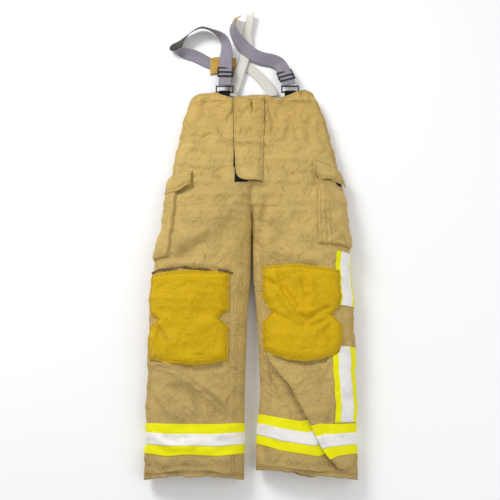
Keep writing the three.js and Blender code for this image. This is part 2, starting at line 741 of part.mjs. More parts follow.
function buildAdjusters() {
  for (const side of SIDES) {
    const [start, middle, end] = overWaist(STRAP_ROUTE[side]);
    const halfWidth = ADJUSTER.width / 2;
    const halfLength = ADJUSTER.length / 2;
    const frame = new THREE.Shape();
    frame.moveTo(-halfWidth, -halfLength);
    frame.lineTo(halfWidth, -halfLength);
    frame.lineTo(halfWidth, halfLength);
    frame.lineTo(-halfWidth, halfLength);
    frame.closePath();
    const windowLow = [-halfLength + ADJUSTER.bar, -ADJUSTER.bar / 2];
    const windowHigh = [ADJUSTER.bar / 2, halfLength - ADJUSTER.bar];
    for (const [low, high] of [windowLow, windowHigh]) {
      const hole = new THREE.Path();
      const x = halfWidth - ADJUSTER.rail;
      hole.moveTo(-x, low);
      hole.lineTo(-x, high);
      hole.lineTo(x, high);
      hole.lineTo(x, low);
      hole.closePath();
      frame.holes.push(hole);
    }
    const over = WEBBING.thickness / 2 + ADJUSTER.clearance;
    const plate = new THREE.ExtrudeGeometry(frame, { depth: ADJUSTER.thickness, bevelEnabled: false });
    plate.translate(0, 0, over);
    const railHeight = 2 * over + ADJUSTER.thickness;
    const pieces = [-1, 1].map((hand) => {
      const rail = new THREE.BoxGeometry(ADJUSTER.rail, ADJUSTER.bar, railHeight);
      rail.translate(hand * (halfWidth - ADJUSTER.rail / 2), 0, over + 0.5 - railHeight / 2);
      return rail;
    });
    const under = new THREE.BoxGeometry(ADJUSTER.width, ADJUSTER.bar, ADJUSTER.thickness / 2);
    under.translate(0, 0, -over - ADJUSTER.thickness / 4);
    const whole = [...pieces, under].reduce((sum, piece) => sum.add(solidOf(piece)), solidOf(plate));
    const body = add(`adjuster_${side}`, geometryOf(whole), COLOUR.black, 0.45);
    const forward = end.clone().sub(start).normalize();
    const level = new THREE.Vector3(forward.y, -forward.x, 0).normalize();
    const normal = level.clone().cross(forward);
    const place = new THREE.Group();
    place.position.copy(middle);
    place.quaternion.setFromRotationMatrix(new THREE.Matrix4().makeBasis(level, forward, normal));
    pants.add(place);
    place.add(body);
  }
}

function buildStraps() {
  add("suspender_strap_right", ribbon(STRAP_ROUTE.right, WEBBING.width, WEBBING.thickness, 36), COLOUR.grey);
  add("suspender_strap_left", ribbon(STRAP_ROUTE.left, WEBBING.width, WEBBING.thickness, 30), COLOUR.grey);
  for (const side of SIDES) {
    const band = ribbon(ELASTIC_ROUTE[side], ELASTIC.width, ELASTIC.thickness, 18);
    add(`back_elastic_${side}`, band, COLOUR.white);
  }
  const half = BACK_PATCH.width / 2;
  const shield = new THREE.Shape();
  shield.moveTo(-half * 0.5, -BACK_PATCH.height / 2);
  shield.lineTo(half * 0.5, -BACK_PATCH.height / 2);
  shield.lineTo(half, 0);
  shield.lineTo(half * 0.8, BACK_PATCH.height / 2);
  shield.lineTo(-half * 0.8, BACK_PATCH.height / 2);
  shield.lineTo(-half, 0);
  shield.closePath();
  const plate = new THREE.ExtrudeGeometry(shield, { depth: BACK_PATCH.thickness, bevelEnabled: false });
  plate.translate(BACK_PATCH.x, BACK_PATCH.y, BACK_PATCH.z);
  add("suspender_back_patch", plate, COLOUR.leather);
}

buildCloth();
buildWaistFacing();
buildFly();
buildZipper();
buildPockets();
buildKnees();
buildTrim();
buildWaistTabs();
buildRings();
buildStraps();
buildAdjusters();

// The frame's origin is the bottom centre of the whole part.
const box = new THREE.Box3().setFromObject(pants, true);
const centre = box.getCenter(new THREE.Vector3());
pants.children.forEach((child) => child.position.sub(new THREE.Vector3(centre.x, centre.y, box.min.z)));

const part = new THREE.Group();
part.add(pants);
export default part;
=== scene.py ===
"""Firefighter's bunker pants with suspenders, laid flat on a pale floor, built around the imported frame."""

import math

import bmesh
import bpy
import numpy as np
from bpy.props import FloatProperty, FloatVectorProperty, IntProperty, PointerProperty
from mathutils import Matrix, Vector
from mathutils.kdtree import KDTree


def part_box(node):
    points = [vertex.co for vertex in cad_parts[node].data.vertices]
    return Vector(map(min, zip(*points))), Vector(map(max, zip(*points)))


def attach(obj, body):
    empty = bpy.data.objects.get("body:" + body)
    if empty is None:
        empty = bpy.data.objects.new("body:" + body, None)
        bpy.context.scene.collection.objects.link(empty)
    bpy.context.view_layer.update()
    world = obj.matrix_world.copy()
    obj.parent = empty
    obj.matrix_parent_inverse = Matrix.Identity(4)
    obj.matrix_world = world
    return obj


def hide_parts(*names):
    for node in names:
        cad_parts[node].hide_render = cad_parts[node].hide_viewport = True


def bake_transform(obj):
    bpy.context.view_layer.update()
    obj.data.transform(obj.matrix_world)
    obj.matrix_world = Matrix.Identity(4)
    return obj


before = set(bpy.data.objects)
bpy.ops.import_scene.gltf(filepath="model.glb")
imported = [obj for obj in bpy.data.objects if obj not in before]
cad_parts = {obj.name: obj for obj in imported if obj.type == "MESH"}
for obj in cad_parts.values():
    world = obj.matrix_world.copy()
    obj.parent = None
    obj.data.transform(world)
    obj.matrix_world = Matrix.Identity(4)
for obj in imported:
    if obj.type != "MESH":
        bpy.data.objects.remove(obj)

bl_info = {
    "name": "Bunker pants",
    "version": (1, 0, 0),
    "blender": (4, 5, 0),
    "location": "3D View > Sidebar > Bunker pants",
    "description": "Builds a firefighter's bunker pants with suspenders around a packed frame",
    "category": "Object",
}

MM = 0.001
SIDES = ("right", "left")
FACES = ("front", "back")
SIGN = {"right": -1, "left": 1}
UP = Vector((0, 0, 1))
OUT = {"front": UP, "back": -UP}

# The cuffs' edge, the centre line, the floor under the back and the cuff trim's heights, all from the frame.
CUFF_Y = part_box("shell_back_right_shin")[0].y
CENTRE_X = (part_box("shell_front_right_thigh")[1].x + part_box("shell_front_left_thigh")[0].x) / 2
BACK_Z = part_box("shell_back_right_thigh")[0].z
TRIM_LOW = (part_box("cuff_trim_front_right")[0].y - CUFF_Y) / MM + 6
TRIM_HIGH = (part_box("cuff_trim_front_right")[1].y - CUFF_Y) / MM - 2
PROFILE_STEP = 5
PROFILE_SPREAD = 5


def linear(colour):
    """An sRGB hex colour as linear red, green and blue."""
    parts = [int(colour[i : i + 2], 16) / 255 for i in (0, 2, 4)]
    return tuple(p / 12.92 if p <= 0.04045 else ((p + 0.055) / 1.055) ** 2.4 for p in parts)


# ---- What a user may change ----


def length(name, description, default):
    return FloatProperty(name=name, description=description, default=default, unit="LENGTH", precision=4)


def colour(name, description, default):
    return FloatVectorProperty(
        name=name, description=description, default=linear(default), subtype="COLOR", size=3, min=0, max=1
    )


class GarmentSizes(bpy.types.PropertyGroup):
    length: length("Length", "From the cuffs' edge to the waist", 1.045)
    crotch: length("Crotch height", "Where the legs join, over the cuffs' edge", 0.68)
    crotch_blend: length("Crotch blend", "Height over which a leg's section turns into the seat's", 0.08)
    knee_bend: length("Knee bend", "How far over and under the knee the cloth bends", 0.06)
    shell: length("Shell thickness", "Thickness of the outer shell's cloth", 0.0018)
    barrier: length("Barrier thickness", "Thickness of the moisture barrier", 0.0008)
    liner: length("Liner thickness", "Thickness of the quilted thermal liner", 0.004)
    tuck_x: length("Tuck line", "How far from the centre line the left cuff starts to lie pulled up", 0.15)
    tuck_low: length("Tuck low", "Height under which the left cuff is pulled up in full", 0.14)
    tuck_high: length("Tuck high", "Height over which the left leg lies straight", 0.27)
    trim: length("Trim width", "Width of the whole reflective trim", 0.076)
    side_lime: length("Side lime width", "Width of the lime before the silver on the side trim", 0.014)
    side_stripe: length("Side stripe width", "Width of the silver stripe on the side trim", 0.034)
    stripe: length("Stripe width", "Width of the silver stripe on the reflective trim", 0.026)
    stitch: length("Stitch length", "Length of one stitch", 0.0036)
    stitch_pitch: length("Stitch pitch", "From one stitch to the next", 0.0055)
    thread: length("Thread", "Width of the sewing thread", 0.0011)
    webbing: length("Webbing width", "Width of the suspenders' webbing", 0.038)
    elastic: length("Elastic width", "Width of the white back elastics", 0.032)
    tuck_slope: FloatProperty(
        name="Tuck slope", description="Rise of the left cuff for each length inwards", default=0.15
    )
    drape: FloatProperty(
        name="Drape", description="Share of the simulated drape that is kept", default=1.0, min=0, max=2
    )
    frames: IntProperty(
        name="Drape frames", description="Frames that the cloth simulation runs", default=26, min=2
    )


class GarmentColours(bpy.types.PropertyGroup):
    shell: colour("Shell", "Outer shell's cloth", "CBAE69")
    shell_low: colour("Worn shell", "Outer shell near the cuffs", "BAA067")
    shell_high: colour("Stained shell", "Outer shell near the waist", "CDAA5B")
    # Painted shade: this colour also darkens the folds' creases and the band beside the pleat, where shade
    # falls.
    soil_and_shade: colour("Soil", "Soot and soil in the folds", "7E6A4A")
    patch: colour("Knee patch", "Coated knee patches", "D0AA0E")
    lime: colour("Lime", "Fluorescent trim", "EDE80C")
    silver: colour("Silver", "Reflective stripe", "EFECE8")
    webbing: colour("Webbing", "Face of the suspenders' webbing", "938D98")
    webbing_back: colour("Webbing back", "Back of the suspenders' webbing", "4C4A44")
    elastic: colour("Elastic", "Back elastics", "DEDBD1")
    suede: colour("Suede", "Leather patch at the back", "C49C42")
    black: colour("Black", "Buckles, rings, binding and hook tape", "1B191C")
    barrier: colour("Barrier", "Moisture barrier's film", "D8D2BD")
    liner: colour("Liner", "Quilted thermal liner", "B9A13C")
    foam: colour("Foam", "Knee cushions", "6E6A60")
    brass: colour("Brass", "Zipper", "B9953F")
    thread: colour("Thread", "Stitching", "86682C")
    floor: colour("Floor", "Paper backdrop", "FBFBFB")


def sizes():
    return bpy.context.scene.bunker_sizes


def colours():
    return bpy.context.scene.bunker_colours


# ---- Folds that were pressed into the cloth, in millimetres from the centre line and up from the cuffs ----

# Each fold: its line, how wide and how high it is (below 0 is a valley), and how much painted shade darkens
# it along its line.
FOLDS = [
    ([(-2, 742), (-4, 700), (0, 655), (6, 611), (8, 560)], 9, -9, 0.8),
    ([(37, 700), (34, 660), (18, 607), (10, 560)], 9, -9, 0.8),
    ([(52, 630), (58, 600), (60, 575)], 10, -5, 0.5),
    ([(-222, 525), (-181, 555), (-114, 598), (-70, 642), (-21, 720)], 22, 10, 0.5),
    ([(-235, 500), (-160, 545), (-95, 590)], 16, -4, 0.3),
    ([(-168, 769), (-110, 760), (-55, 748)], 8, -4, 0.2),
    ([(-170, 757), (-110, 746), (-60, 736)], 9, 4, 0.0),
    ([(118, 975), (102, 910), (90, 860)], 9, -5, 0.1),
    ([(172, 985), (157, 900), (156, 850)], 11, -6, 0.1),
    ([(70, 990), (66, 930), (72, 880)], 11, -5, 0.1),
    ([(-110, 1000), (-88, 930), (-80, 880)], 11, -5, 0.1),
    ([(-160, 1000), (-170, 900), (-176, 830)], 18, 4, 0.0),
    ([(-33, 1020), (-60, 960), (-72, 930)], 10, -4, 0.2),
    ([(20, 526), (60, 549), (127, 530), (190, 520)], 16, 8, 0.0),
    ([(15, 500), (90, 512), (180, 506)], 8, -4, 0.3),
    ([(-242, 572), (-205, 553), (-180, 545)], 8, -4, 0.3),
    ([(-240, 512), (-180, 511), (-93, 505), (-48, 496)], 11, 12, 0.1),
    ([(-257, 245), (-221, 259), (-110, 206), (-25, 139)], 15, 9, 0.0),
    ([(-240, 222), (-180, 205), (-95, 160), (-40, 118)], 12, -6, 0.3),
    ([(-250, 209), (-201, 161), (-150, 131)], 11, 7, 0.0),
    ([(-246, 363), (-221, 338), (-199, 302)], 11, -5, 0.5),
    ([(-250, 268), (-200, 252), (-130, 246), (-60, 262)], 10, -5, 0.4),
    ([(-256, 124), (-228, 95), (-174, 77), (-120, 76)], 10, 6, 0.1),
    ([(-250, 60), (-215, 30), (-180, 4)], 9, -4, 0.3),
    ([(-80, 42), (-25, 59)], 9, 4, 0.1),
    ([(26, 286), (76, 270), (131, 262), (191, 276)], 10, -7, 0.6),
    ([(33, 263), (50, 218), (72, 164)], 7, -7, 0.8),
    ([(13, 81), (39, 52)], 7, -4, 0.6),
    ([(185, 215), (205, 180)], 8, -3, 0.2),
    ([(150, 150), (200, 205)], 20, 3, 0.0),
    ([(131, 38), (172, 35), (190, 5)], 8, -3, 0.3),
    ([(-260, 236), (-231, 188), (-205, 152)], 5, -5, 0.7),
    ([(-178, 250), (-110, 196), (-56, 150)], 5, -4, 0.5),
    ([(-258, 288), (-230, 272), (-205, 264)], 5, -5, 0.7),
    ([(-120, 240), (-80, 205), (-50, 190)], 5, -3, 0.4),
    ([(30, 250), (44, 222), (60, 205)], 5, -4, 0.6),
    ([(20, 200), (36, 176), (60, 160)], 5, -3, 0.4),
    ([(-236, 610), (-205, 600), (-178, 606)], 5, -4, 0.5),
    ([(44, 590), (60, 556), (96, 536)], 5, -4, 0.5),
    ([(-210, 880), (-150, 872), (-90, 884)], 6, -3, 0.2),
    ([(60, 800), (110, 770), (170, 776)], 6, -4, 0.3),
    ([(48, 1000), (62, 940), (52, 890)], 5, -3, 0.2),
    ([(132, 1000), (118, 930), (126, 880)], 5, -4, 0.2),
    ([(222, 60), (224, 10)], 10, 3, 0.0),
    ([(138, 1066), (141, 1008)], 5, 3, 0.0),
    ([(149, 1066), (151, 1012)], 5, -3, 0.3),
    ([(163, 1066), (162, 1002)], 5, 4, 0.0),
    ([(175, 1066), (172, 1006)], 5, -3, 0.3),
    ([(187, 1060), (183, 1010)], 5, 3, 0.0),
    ([(-120, 1052), (-126, 1000)], 7, -3, 0.1),
    ([(-142, 1052), (-146, 985)], 8, 3, 0.0),
    ([(-165, 1048), (-166, 1000)], 7, -3, 0.1),
    ([(60, 1034), (56, 980)], 8, 3, 0.0),
    ([(95, 1034), (88, 985)], 8, -3, 0.1),
]
# The fold where the left cuff's outer half lies over its inner half: its line, width, overlap and height.
PLEAT = [(212, 10), (169, 66), (131, 139), (91, 215), (52, 258), (24, 296)]
PLEAT_WIDTH = 17
PLEAT_OVERLAP = 11.5
PLEAT_HEIGHT = 4.6
FOLD_END = 26
# Soiled patches: two ends, radius and strength.
MARKS = [
    ((-181, 540), (-30, 720), 26, 0.55),
    ((40, 520), (70, 620), 18, 0.35),
    ((-40, 590), (-25, 690), 12, 0.3),
    ((60, 940), (80, 1000), 34, 0.18),
    ((-240, 280), (-232, 268), 14, 0.5),
    ((-230, 24), (-40, 8), 20, 0.3),
    ((20, 30), (230, 8), 20, 0.3),
    ((-200, 560), (-190, 545), 16, 0.4),
]
# Heights of sewn lines that hold some dirt, in millimetres, and how much.
SEAM_LINES = [(14, 0.5), (1014, 0.25)]
# The waist's upper edge on the front and the back.
RIM = {
    "front": [(-190, 1022), (-177, 1036), (-155, 1047), (-102, 1049), (-93, 1042), (-53, 1030), (-30, 1034),
              (40, 1036), (88, 1031), (110, 1040), (133, 1054), (156, 1060), (180, 1050), (196, 1018)],
    "back": [(-190, 1022), (-150, 1036), (-60, 1028), (60, 1028), (150, 1040), (196, 1018)],
}


def coordinates(mesh):
    flat = np.zeros(len(mesh.vertices) * 3, np.float32)
    mesh.vertices.foreach_get("co", flat)
    return flat.reshape(-1, 3).astype(float)


def measured_profile(side):
    """Outer edge, inner edge, crest and seam height of one side of the frame's shell, at even heights."""
    ends = []
    for face in FACES:
        for part in ("thigh", "shin"):
            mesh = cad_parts[f"shell_{face}_{side}_{part}"].data
            pairs = np.zeros(len(mesh.edges) * 2, np.int32)
            mesh.edges.foreach_get("vertices", pairs)
            ends.append(coordinates(mesh)[pairs.reshape(-1, 2)])
    ends = np.concatenate(ends)
    low, high = ends[:, 0], ends[:, 1]
    top = (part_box(f"shell_front_{side}_thigh")[1].y - CUFF_Y) / MM
    heights = np.arange(PROFILE_STEP, top - 1, PROFILE_STEP)
    rows = []
    for height in heights:
        y = CUFF_Y + height * MM
        cut = (low[:, 1] - y) * (high[:, 1] - y) < 0
        share = (y - low[cut, 1]) / (high[cut, 1] - low[cut, 1])
        points = low[cut] + share[:, None] * (high[cut] - low[cut])
        reach = np.abs(points[:, 0] - CENTRE_X)
        rows.append((reach.max(), reach.min(), points[:, 2].max(), points[reach.argmax(), 2]))
    rows = np.array(rows)
    whole = heights > 30
    rows[~whole, 1] = rows[whole, 1][0]
    kernel = np.ones(2 * PROFILE_SPREAD + 1) / (2 * PROFILE_SPREAD + 1)
    padded = np.pad(rows, ((PROFILE_SPREAD, PROFILE_SPREAD), (0, 0)), mode="reflect", reflect_type="odd")
    smooth = np.stack([np.convolve(column, kernel, "valid") for column in padded.T], axis=1)
    return heights * MM, smooth


PROFILE = {side: measured_profile(side) for side in SIDES}
LEG_ROUNDNESS = 2.2
SEAT_ROUNDNESS = 2.6
DOME_POWER = 0.42
BACK_FLAT = 0.9


def profile(side, up):
    heights, rows = PROFILE[side]
    return [np.interp(up, heights, column) for column in rows.T]


def seat_share(up):
    s = sizes()
    return np.clip((up - (s.crotch - s.crotch_blend)) / s.crotch_blend, 0, 1)


def section(side, face, t, up):
    """The shell's smooth outside. t is 0 at the side seam and 1 at the inseam or centre line."""
    s = sizes()
    outer, inner, crest, seam = profile(side, up)
    inner = inner * (1 - seat_share(up))
    x = outer + (inner - outer) * t
    if side == "left":
        fade = np.clip((s.tuck_high - up) / (s.tuck_high - s.tuck_low), 0, 1)
        up = up + s.tuck_slope * np.maximum(0, s.tuck_x - x) * fade
        outer, inner, crest, seam = profile(side, up)
        inner = inner * (1 - seat_share(up))
        x = outer + (inner - outer) * t
    seat = seat_share(up)
    leg = (1 - np.abs(2 * t - 1) ** LEG_ROUNDNESS) ** DOME_POWER
    whole = (1 - np.abs(1 - t) ** SEAT_ROUNDNESS) ** DOME_POWER
    dome = leg + (whole - leg) * seat
    if face == "front":
        z = seam + (crest - seam) * dome
    else:
        z = seam - (seam - BACK_Z) * np.minimum(1, dome / BACK_FLAT)
    return np.stack([CENTRE_X + SIGN[side] * x, CUFF_Y + up, z], axis=1)


def near_line(xy, line):
    """Signed distance from a line of points, the way across it, and a fade towards its two ends."""
    line = np.array(line, float)
    best = np.full(len(xy), np.inf)
    signed, fade = np.zeros(len(xy)), np.zeros(len(xy))
    across = np.zeros((len(xy), 2))
    steps = np.linalg.norm(np.diff(line, axis=0), axis=1)
    starts = np.concatenate([[0], np.cumsum(steps)])
    for start, end, before, step in zip(line[:-1], line[1:], starts, steps):
        way = (end - start) / step
        side_way = np.array([way[1], -way[0]])
        share = np.clip((xy - start) @ way, 0, step)
        gap = xy - start - share[:, None] * way
        distance = np.linalg.norm(gap, axis=1)
        closer = distance < best
        best[closer] = distance[closer]
        signed[closer] = (distance * np.sign(gap @ side_way))[closer]
        across[closer] = side_way
        run = before + share
        ends = np.minimum(run, starts[-1] - run) / FOLD_END
        fade[closer] = np.clip(ends, 0, 1)[closer]
    return signed, across, fade * fade * (3 - 2 * fade)


def creased(xy, lift, folds, strength=1.0):
    """A lift with the heights of small folds added to it."""
    for line, width, height in folds:
        signed, _, fade = near_line(xy, line)
        lift = lift + strength * height * np.exp(-((signed / width) ** 2)) * fade
    return lift


def garment_mm(points):
    """Millimetres from the centre line and up from the cuffs."""
    return (points[:, :2] - (CENTRE_X, CUFF_Y)) / MM


def pressed(points):
    """How the listed folds move points of the front, and the painted shade along their lines and beside the
    pleat.
    """
    xy = garment_mm(points)
    move = np.zeros((len(points), 3))
    soil_and_shade = np.zeros(len(points))
    for line, width, height, dirt_and_shade in FOLDS:
        signed, _, fade = near_line(xy, line)
        bell = np.exp(-((signed / width) ** 2)) * fade
        move[:, 2] += height * bell
        # Painted shade: each fold darkens the cloth along its line by its fourth column.
        soil_and_shade = np.maximum(soil_and_shade, dirt_and_shade * np.exp(-((signed / (0.6 * width)) ** 2)) * fade)
    signed, across, fade = near_line(xy, PLEAT)
    turn = np.clip(signed / PLEAT_WIDTH, -1, 1)
    move[:, :2] -= across * (PLEAT_OVERLAP * np.sin(math.pi * turn) * fade)[:, None]
    step = np.tanh(3 * signed / PLEAT_WIDTH) * np.exp(-((signed / (2.6 * PLEAT_WIDTH)) ** 2))
    move[:, 2] += PLEAT_HEIGHT * step * fade
    # Painted shadow: a dark band 9 mm to the pleat's lower side, under the raised half's edge; the folds'
    # painted shade is halved.
    soil_and_shade = np.maximum(0.5 * soil_and_shade, 0.6 * np.exp(-(((signed + 9) / 7) ** 2)) * fade)
    return move * MM, soil_and_shade


# Soil and painted shade of each point: the folds' painted shade and the pleat's painted shadow on the front,
# stains from MARKS, and darker cuffs and seam lines.
def soil_and_shade_at(points, front):
    xy = garment_mm(points)
    soil_and_shade = pressed(points)[1] if front else np.zeros(len(points))
    for start, end, radius, strength in MARKS if front else ():
        start, end = np.array(start, float), np.array(end, float)
        way = end - start
        share = np.clip((xy - start) @ way / (way @ way), 0, 1)
        distance = np.linalg.norm(xy - start - share[:, None] * way, axis=1)
        soil_and_shade = np.maximum(soil_and_shade, 0.6 * strength * np.exp(-((distance / radius) ** 2)))
    hem = 0.35 * np.exp(-xy[:, 1] / 12)
    for height, strength in SEAM_LINES:
        hem = np.maximum(hem, strength * np.exp(-(((xy[:, 1] - height) / 2.2) ** 2)))
    return np.clip(np.maximum(soil_and_shade, hem), 0, 1)


def rumple(points):
    """The small unevenness of heavy cloth, as a height in metres."""
    waves = (
        (61, 37, 0.3, 1.0), (-43, 71, 1.7, 0.9), (97, -29, 2.9, 0.7), (23, 113, 4.1, 0.6), (141, 61, 5.3, 0.4)
    )
    x, y = points[:, 0], points[:, 1]
    x = x + 0.012 * np.sin(31 * y + 1) + 0.005 * np.sin(87 * y)
    y = y + 0.014 * np.sin(26 * x + 2) + 0.006 * np.sin(71 * x)
    return 1.1 * MM * sum(size * np.sin(a * x + b * y + phase) for a, b, phase, size in waves)


def wavering(up):
    """How far the side seam wanders in and out, in metres."""
    return MM * (1.6 * np.sin(47 * up) + 1.1 * np.sin(118 * up + 1) + 0.5 * np.sin(263 * up + 2))


# ---- The drape: how the simulated cloth differs from the smooth section ----

DRAPE_COLUMNS = 27
DRAPE_ROWS = 106
# The simulated wrinkles are made this much stronger, and no point moves further than the limit.
DRAPE_GAIN = 1.4
DRAPE_LIMIT = 8 * MM
DRAPE = {}


def share_across(u):
    """Even steps in u become steps that are closer together near the two edges."""
    return (1 - np.cos(math.pi * u)) / 2


def spline(x, count):
    """The four grid places around x and their cubic B-spline weights."""
    base = np.clip(np.floor(x).astype(int), 0, count - 2)
    f = x - base
    weights = ((1 - f) ** 3, 3 * f**3 - 6 * f**2 + 4, -3 * f**3 + 3 * f**2 + 3 * f + 1, f**3)
    places = [np.clip(base + k - 1, 0, count - 1) for k in range(4)]
    return places, [w / 6 for w in weights]


def drape(side, face, t, up):
    grid = DRAPE.get((side, face))
    if grid is None:
        return 0
    u = np.arccos(np.clip(1 - 2 * t, -1, 1)) / math.pi
    columns, column_weights = spline(u * (DRAPE_COLUMNS - 1), DRAPE_COLUMNS)
    rows, row_weights = spline(np.clip(up / sizes().length, 0, 1) * (DRAPE_ROWS - 1), DRAPE_ROWS)
    moved = 0
    for row, row_weight in zip(rows, row_weights):
        for column, column_weight in zip(columns, column_weights):
            moved = moved + grid[row, column] * (row_weight * column_weight)[:, None]
    return moved * sizes().drape


def bare_surface(side, face, t, up, folds):
    t = np.clip(t, 0, 1)
    points = section(side, face, t, up)
    edge = np.minimum(1, 4 * t) * np.minimum(1, 4 * (1 - t) + seat_share(up))
    moved = points + drape(side, face, t, up) * np.stack([edge, edge, edge], axis=1)
    moved[:, 0] += SIGN[side] * wavering(up) * (1 - t) ** 2
    if face == "front":
        if folds:
            moved = moved + pressed(points)[0] * edge[:, None]
        moved[:, 2] += rumple(points) * edge
    return moved


def surface(side, face, t, up, lift=0.0, folds=True):
    """Points of the draped shell's outside, and of what lies lift metres over it."""
    t, up, lift = np.broadcast_arrays(np.asarray(t, float), np.asarray(up, float), np.asarray(lift, float))
    here = bare_surface(side, face, t, up, folds)
    if not np.any(lift):
        return here
    step, rise = 0.006, 0.004
    low, high = np.clip(t - step, 0, 1), np.clip(t + step, 0, 1)
    across = section(side, face, high, up) - section(side, face, low, up)
    along = section(side, face, t, up + rise) - section(side, face, t, up - rise)
    turned = SIGN[side] * (1 if face == "back" else -1)
    normal = np.cross(across, along) * turned
    normal /= np.maximum(np.linalg.norm(normal, axis=1), 1e-12)[:, None]
    return here + normal * lift[:, None]


def over_front(x, up, lift=0.0, folds=True):
    """Points over the front, with x from the centre line and up from the cuffs in millimetres."""
    x, up, lift = np.broadcast_arrays(np.asarray(x, float), np.asarray(up, float), np.asarray(lift, float))
    found = np.zeros((len(x), 3))
    for side in SIDES:
        mine = (x < 0) == (side == "right")
        if not mine.any():
            continue
        height = up[mine] * MM
        outer, inner, _, _ = profile(side, height)
        inner = inner * (1 - seat_share(height))
        t = (outer - np.abs(x[mine]) * MM) / (outer - inner)
        found[mine] = surface(side, "front", t, height, lift[mine] * MM, folds)
    return found


def lerp(a, b, share):
    return a + (b - a) * share


def table(rows, x):
    """A value between the rows of a short table."""
    where, values = zip(*rows)
    return np.interp(x, where, values)


def smooth(share):
    share = np.clip(share, 0, 1)
    return share * share * (3 - 2 * share)


# ---- Materials ----

WAVE_PERIOD = math.tau / 20


def add(tree, kind, inputs=(), **settings):
    """Adds a node with its settings. An input that is given a socket is linked to it."""
    made = tree.nodes.new("ShaderNode" + kind)
    for key, value in settings.items():
        setattr(made, key, value)
    for key, value in dict(inputs).items():
        if isinstance(value, bpy.types.NodeSocket):
            tree.links.new(value, made.inputs[key])
        else:
            made.inputs[key].default_value = value
    return made


def started(name):
    """An empty material with its shader, and its coordinates."""
    material = bpy.data.materials.get(name)
    if material:
        return material, None, None, None
    material = bpy.data.materials.new(name)
    material.use_nodes = True
    tree = material.node_tree
    tree.nodes.clear()
    shader = add(tree, "BsdfPrincipled")
    add(tree, "OutputMaterial", {"Surface": shader.outputs[0]})
    return material, tree, shader, add(tree, "TexCoord")


def rgba(value):
    return (*value, 1)


# The colour mix node's factor, its two colours and its result have these numbers.
MIX_FACTOR, MIX_FIRST, MIX_SECOND, MIX_RESULT = 0, 6, 7, 2
WORN_SHARE = 0.72


def mixed(tree, share, first, second):
    """Two colours mixed, where share is how much of the second shows."""
    inputs = {MIX_FACTOR: share, MIX_FIRST: first, MIX_SECOND: second}
    return add(tree, "Mix", inputs, data_type="RGBA").outputs[MIX_RESULT]


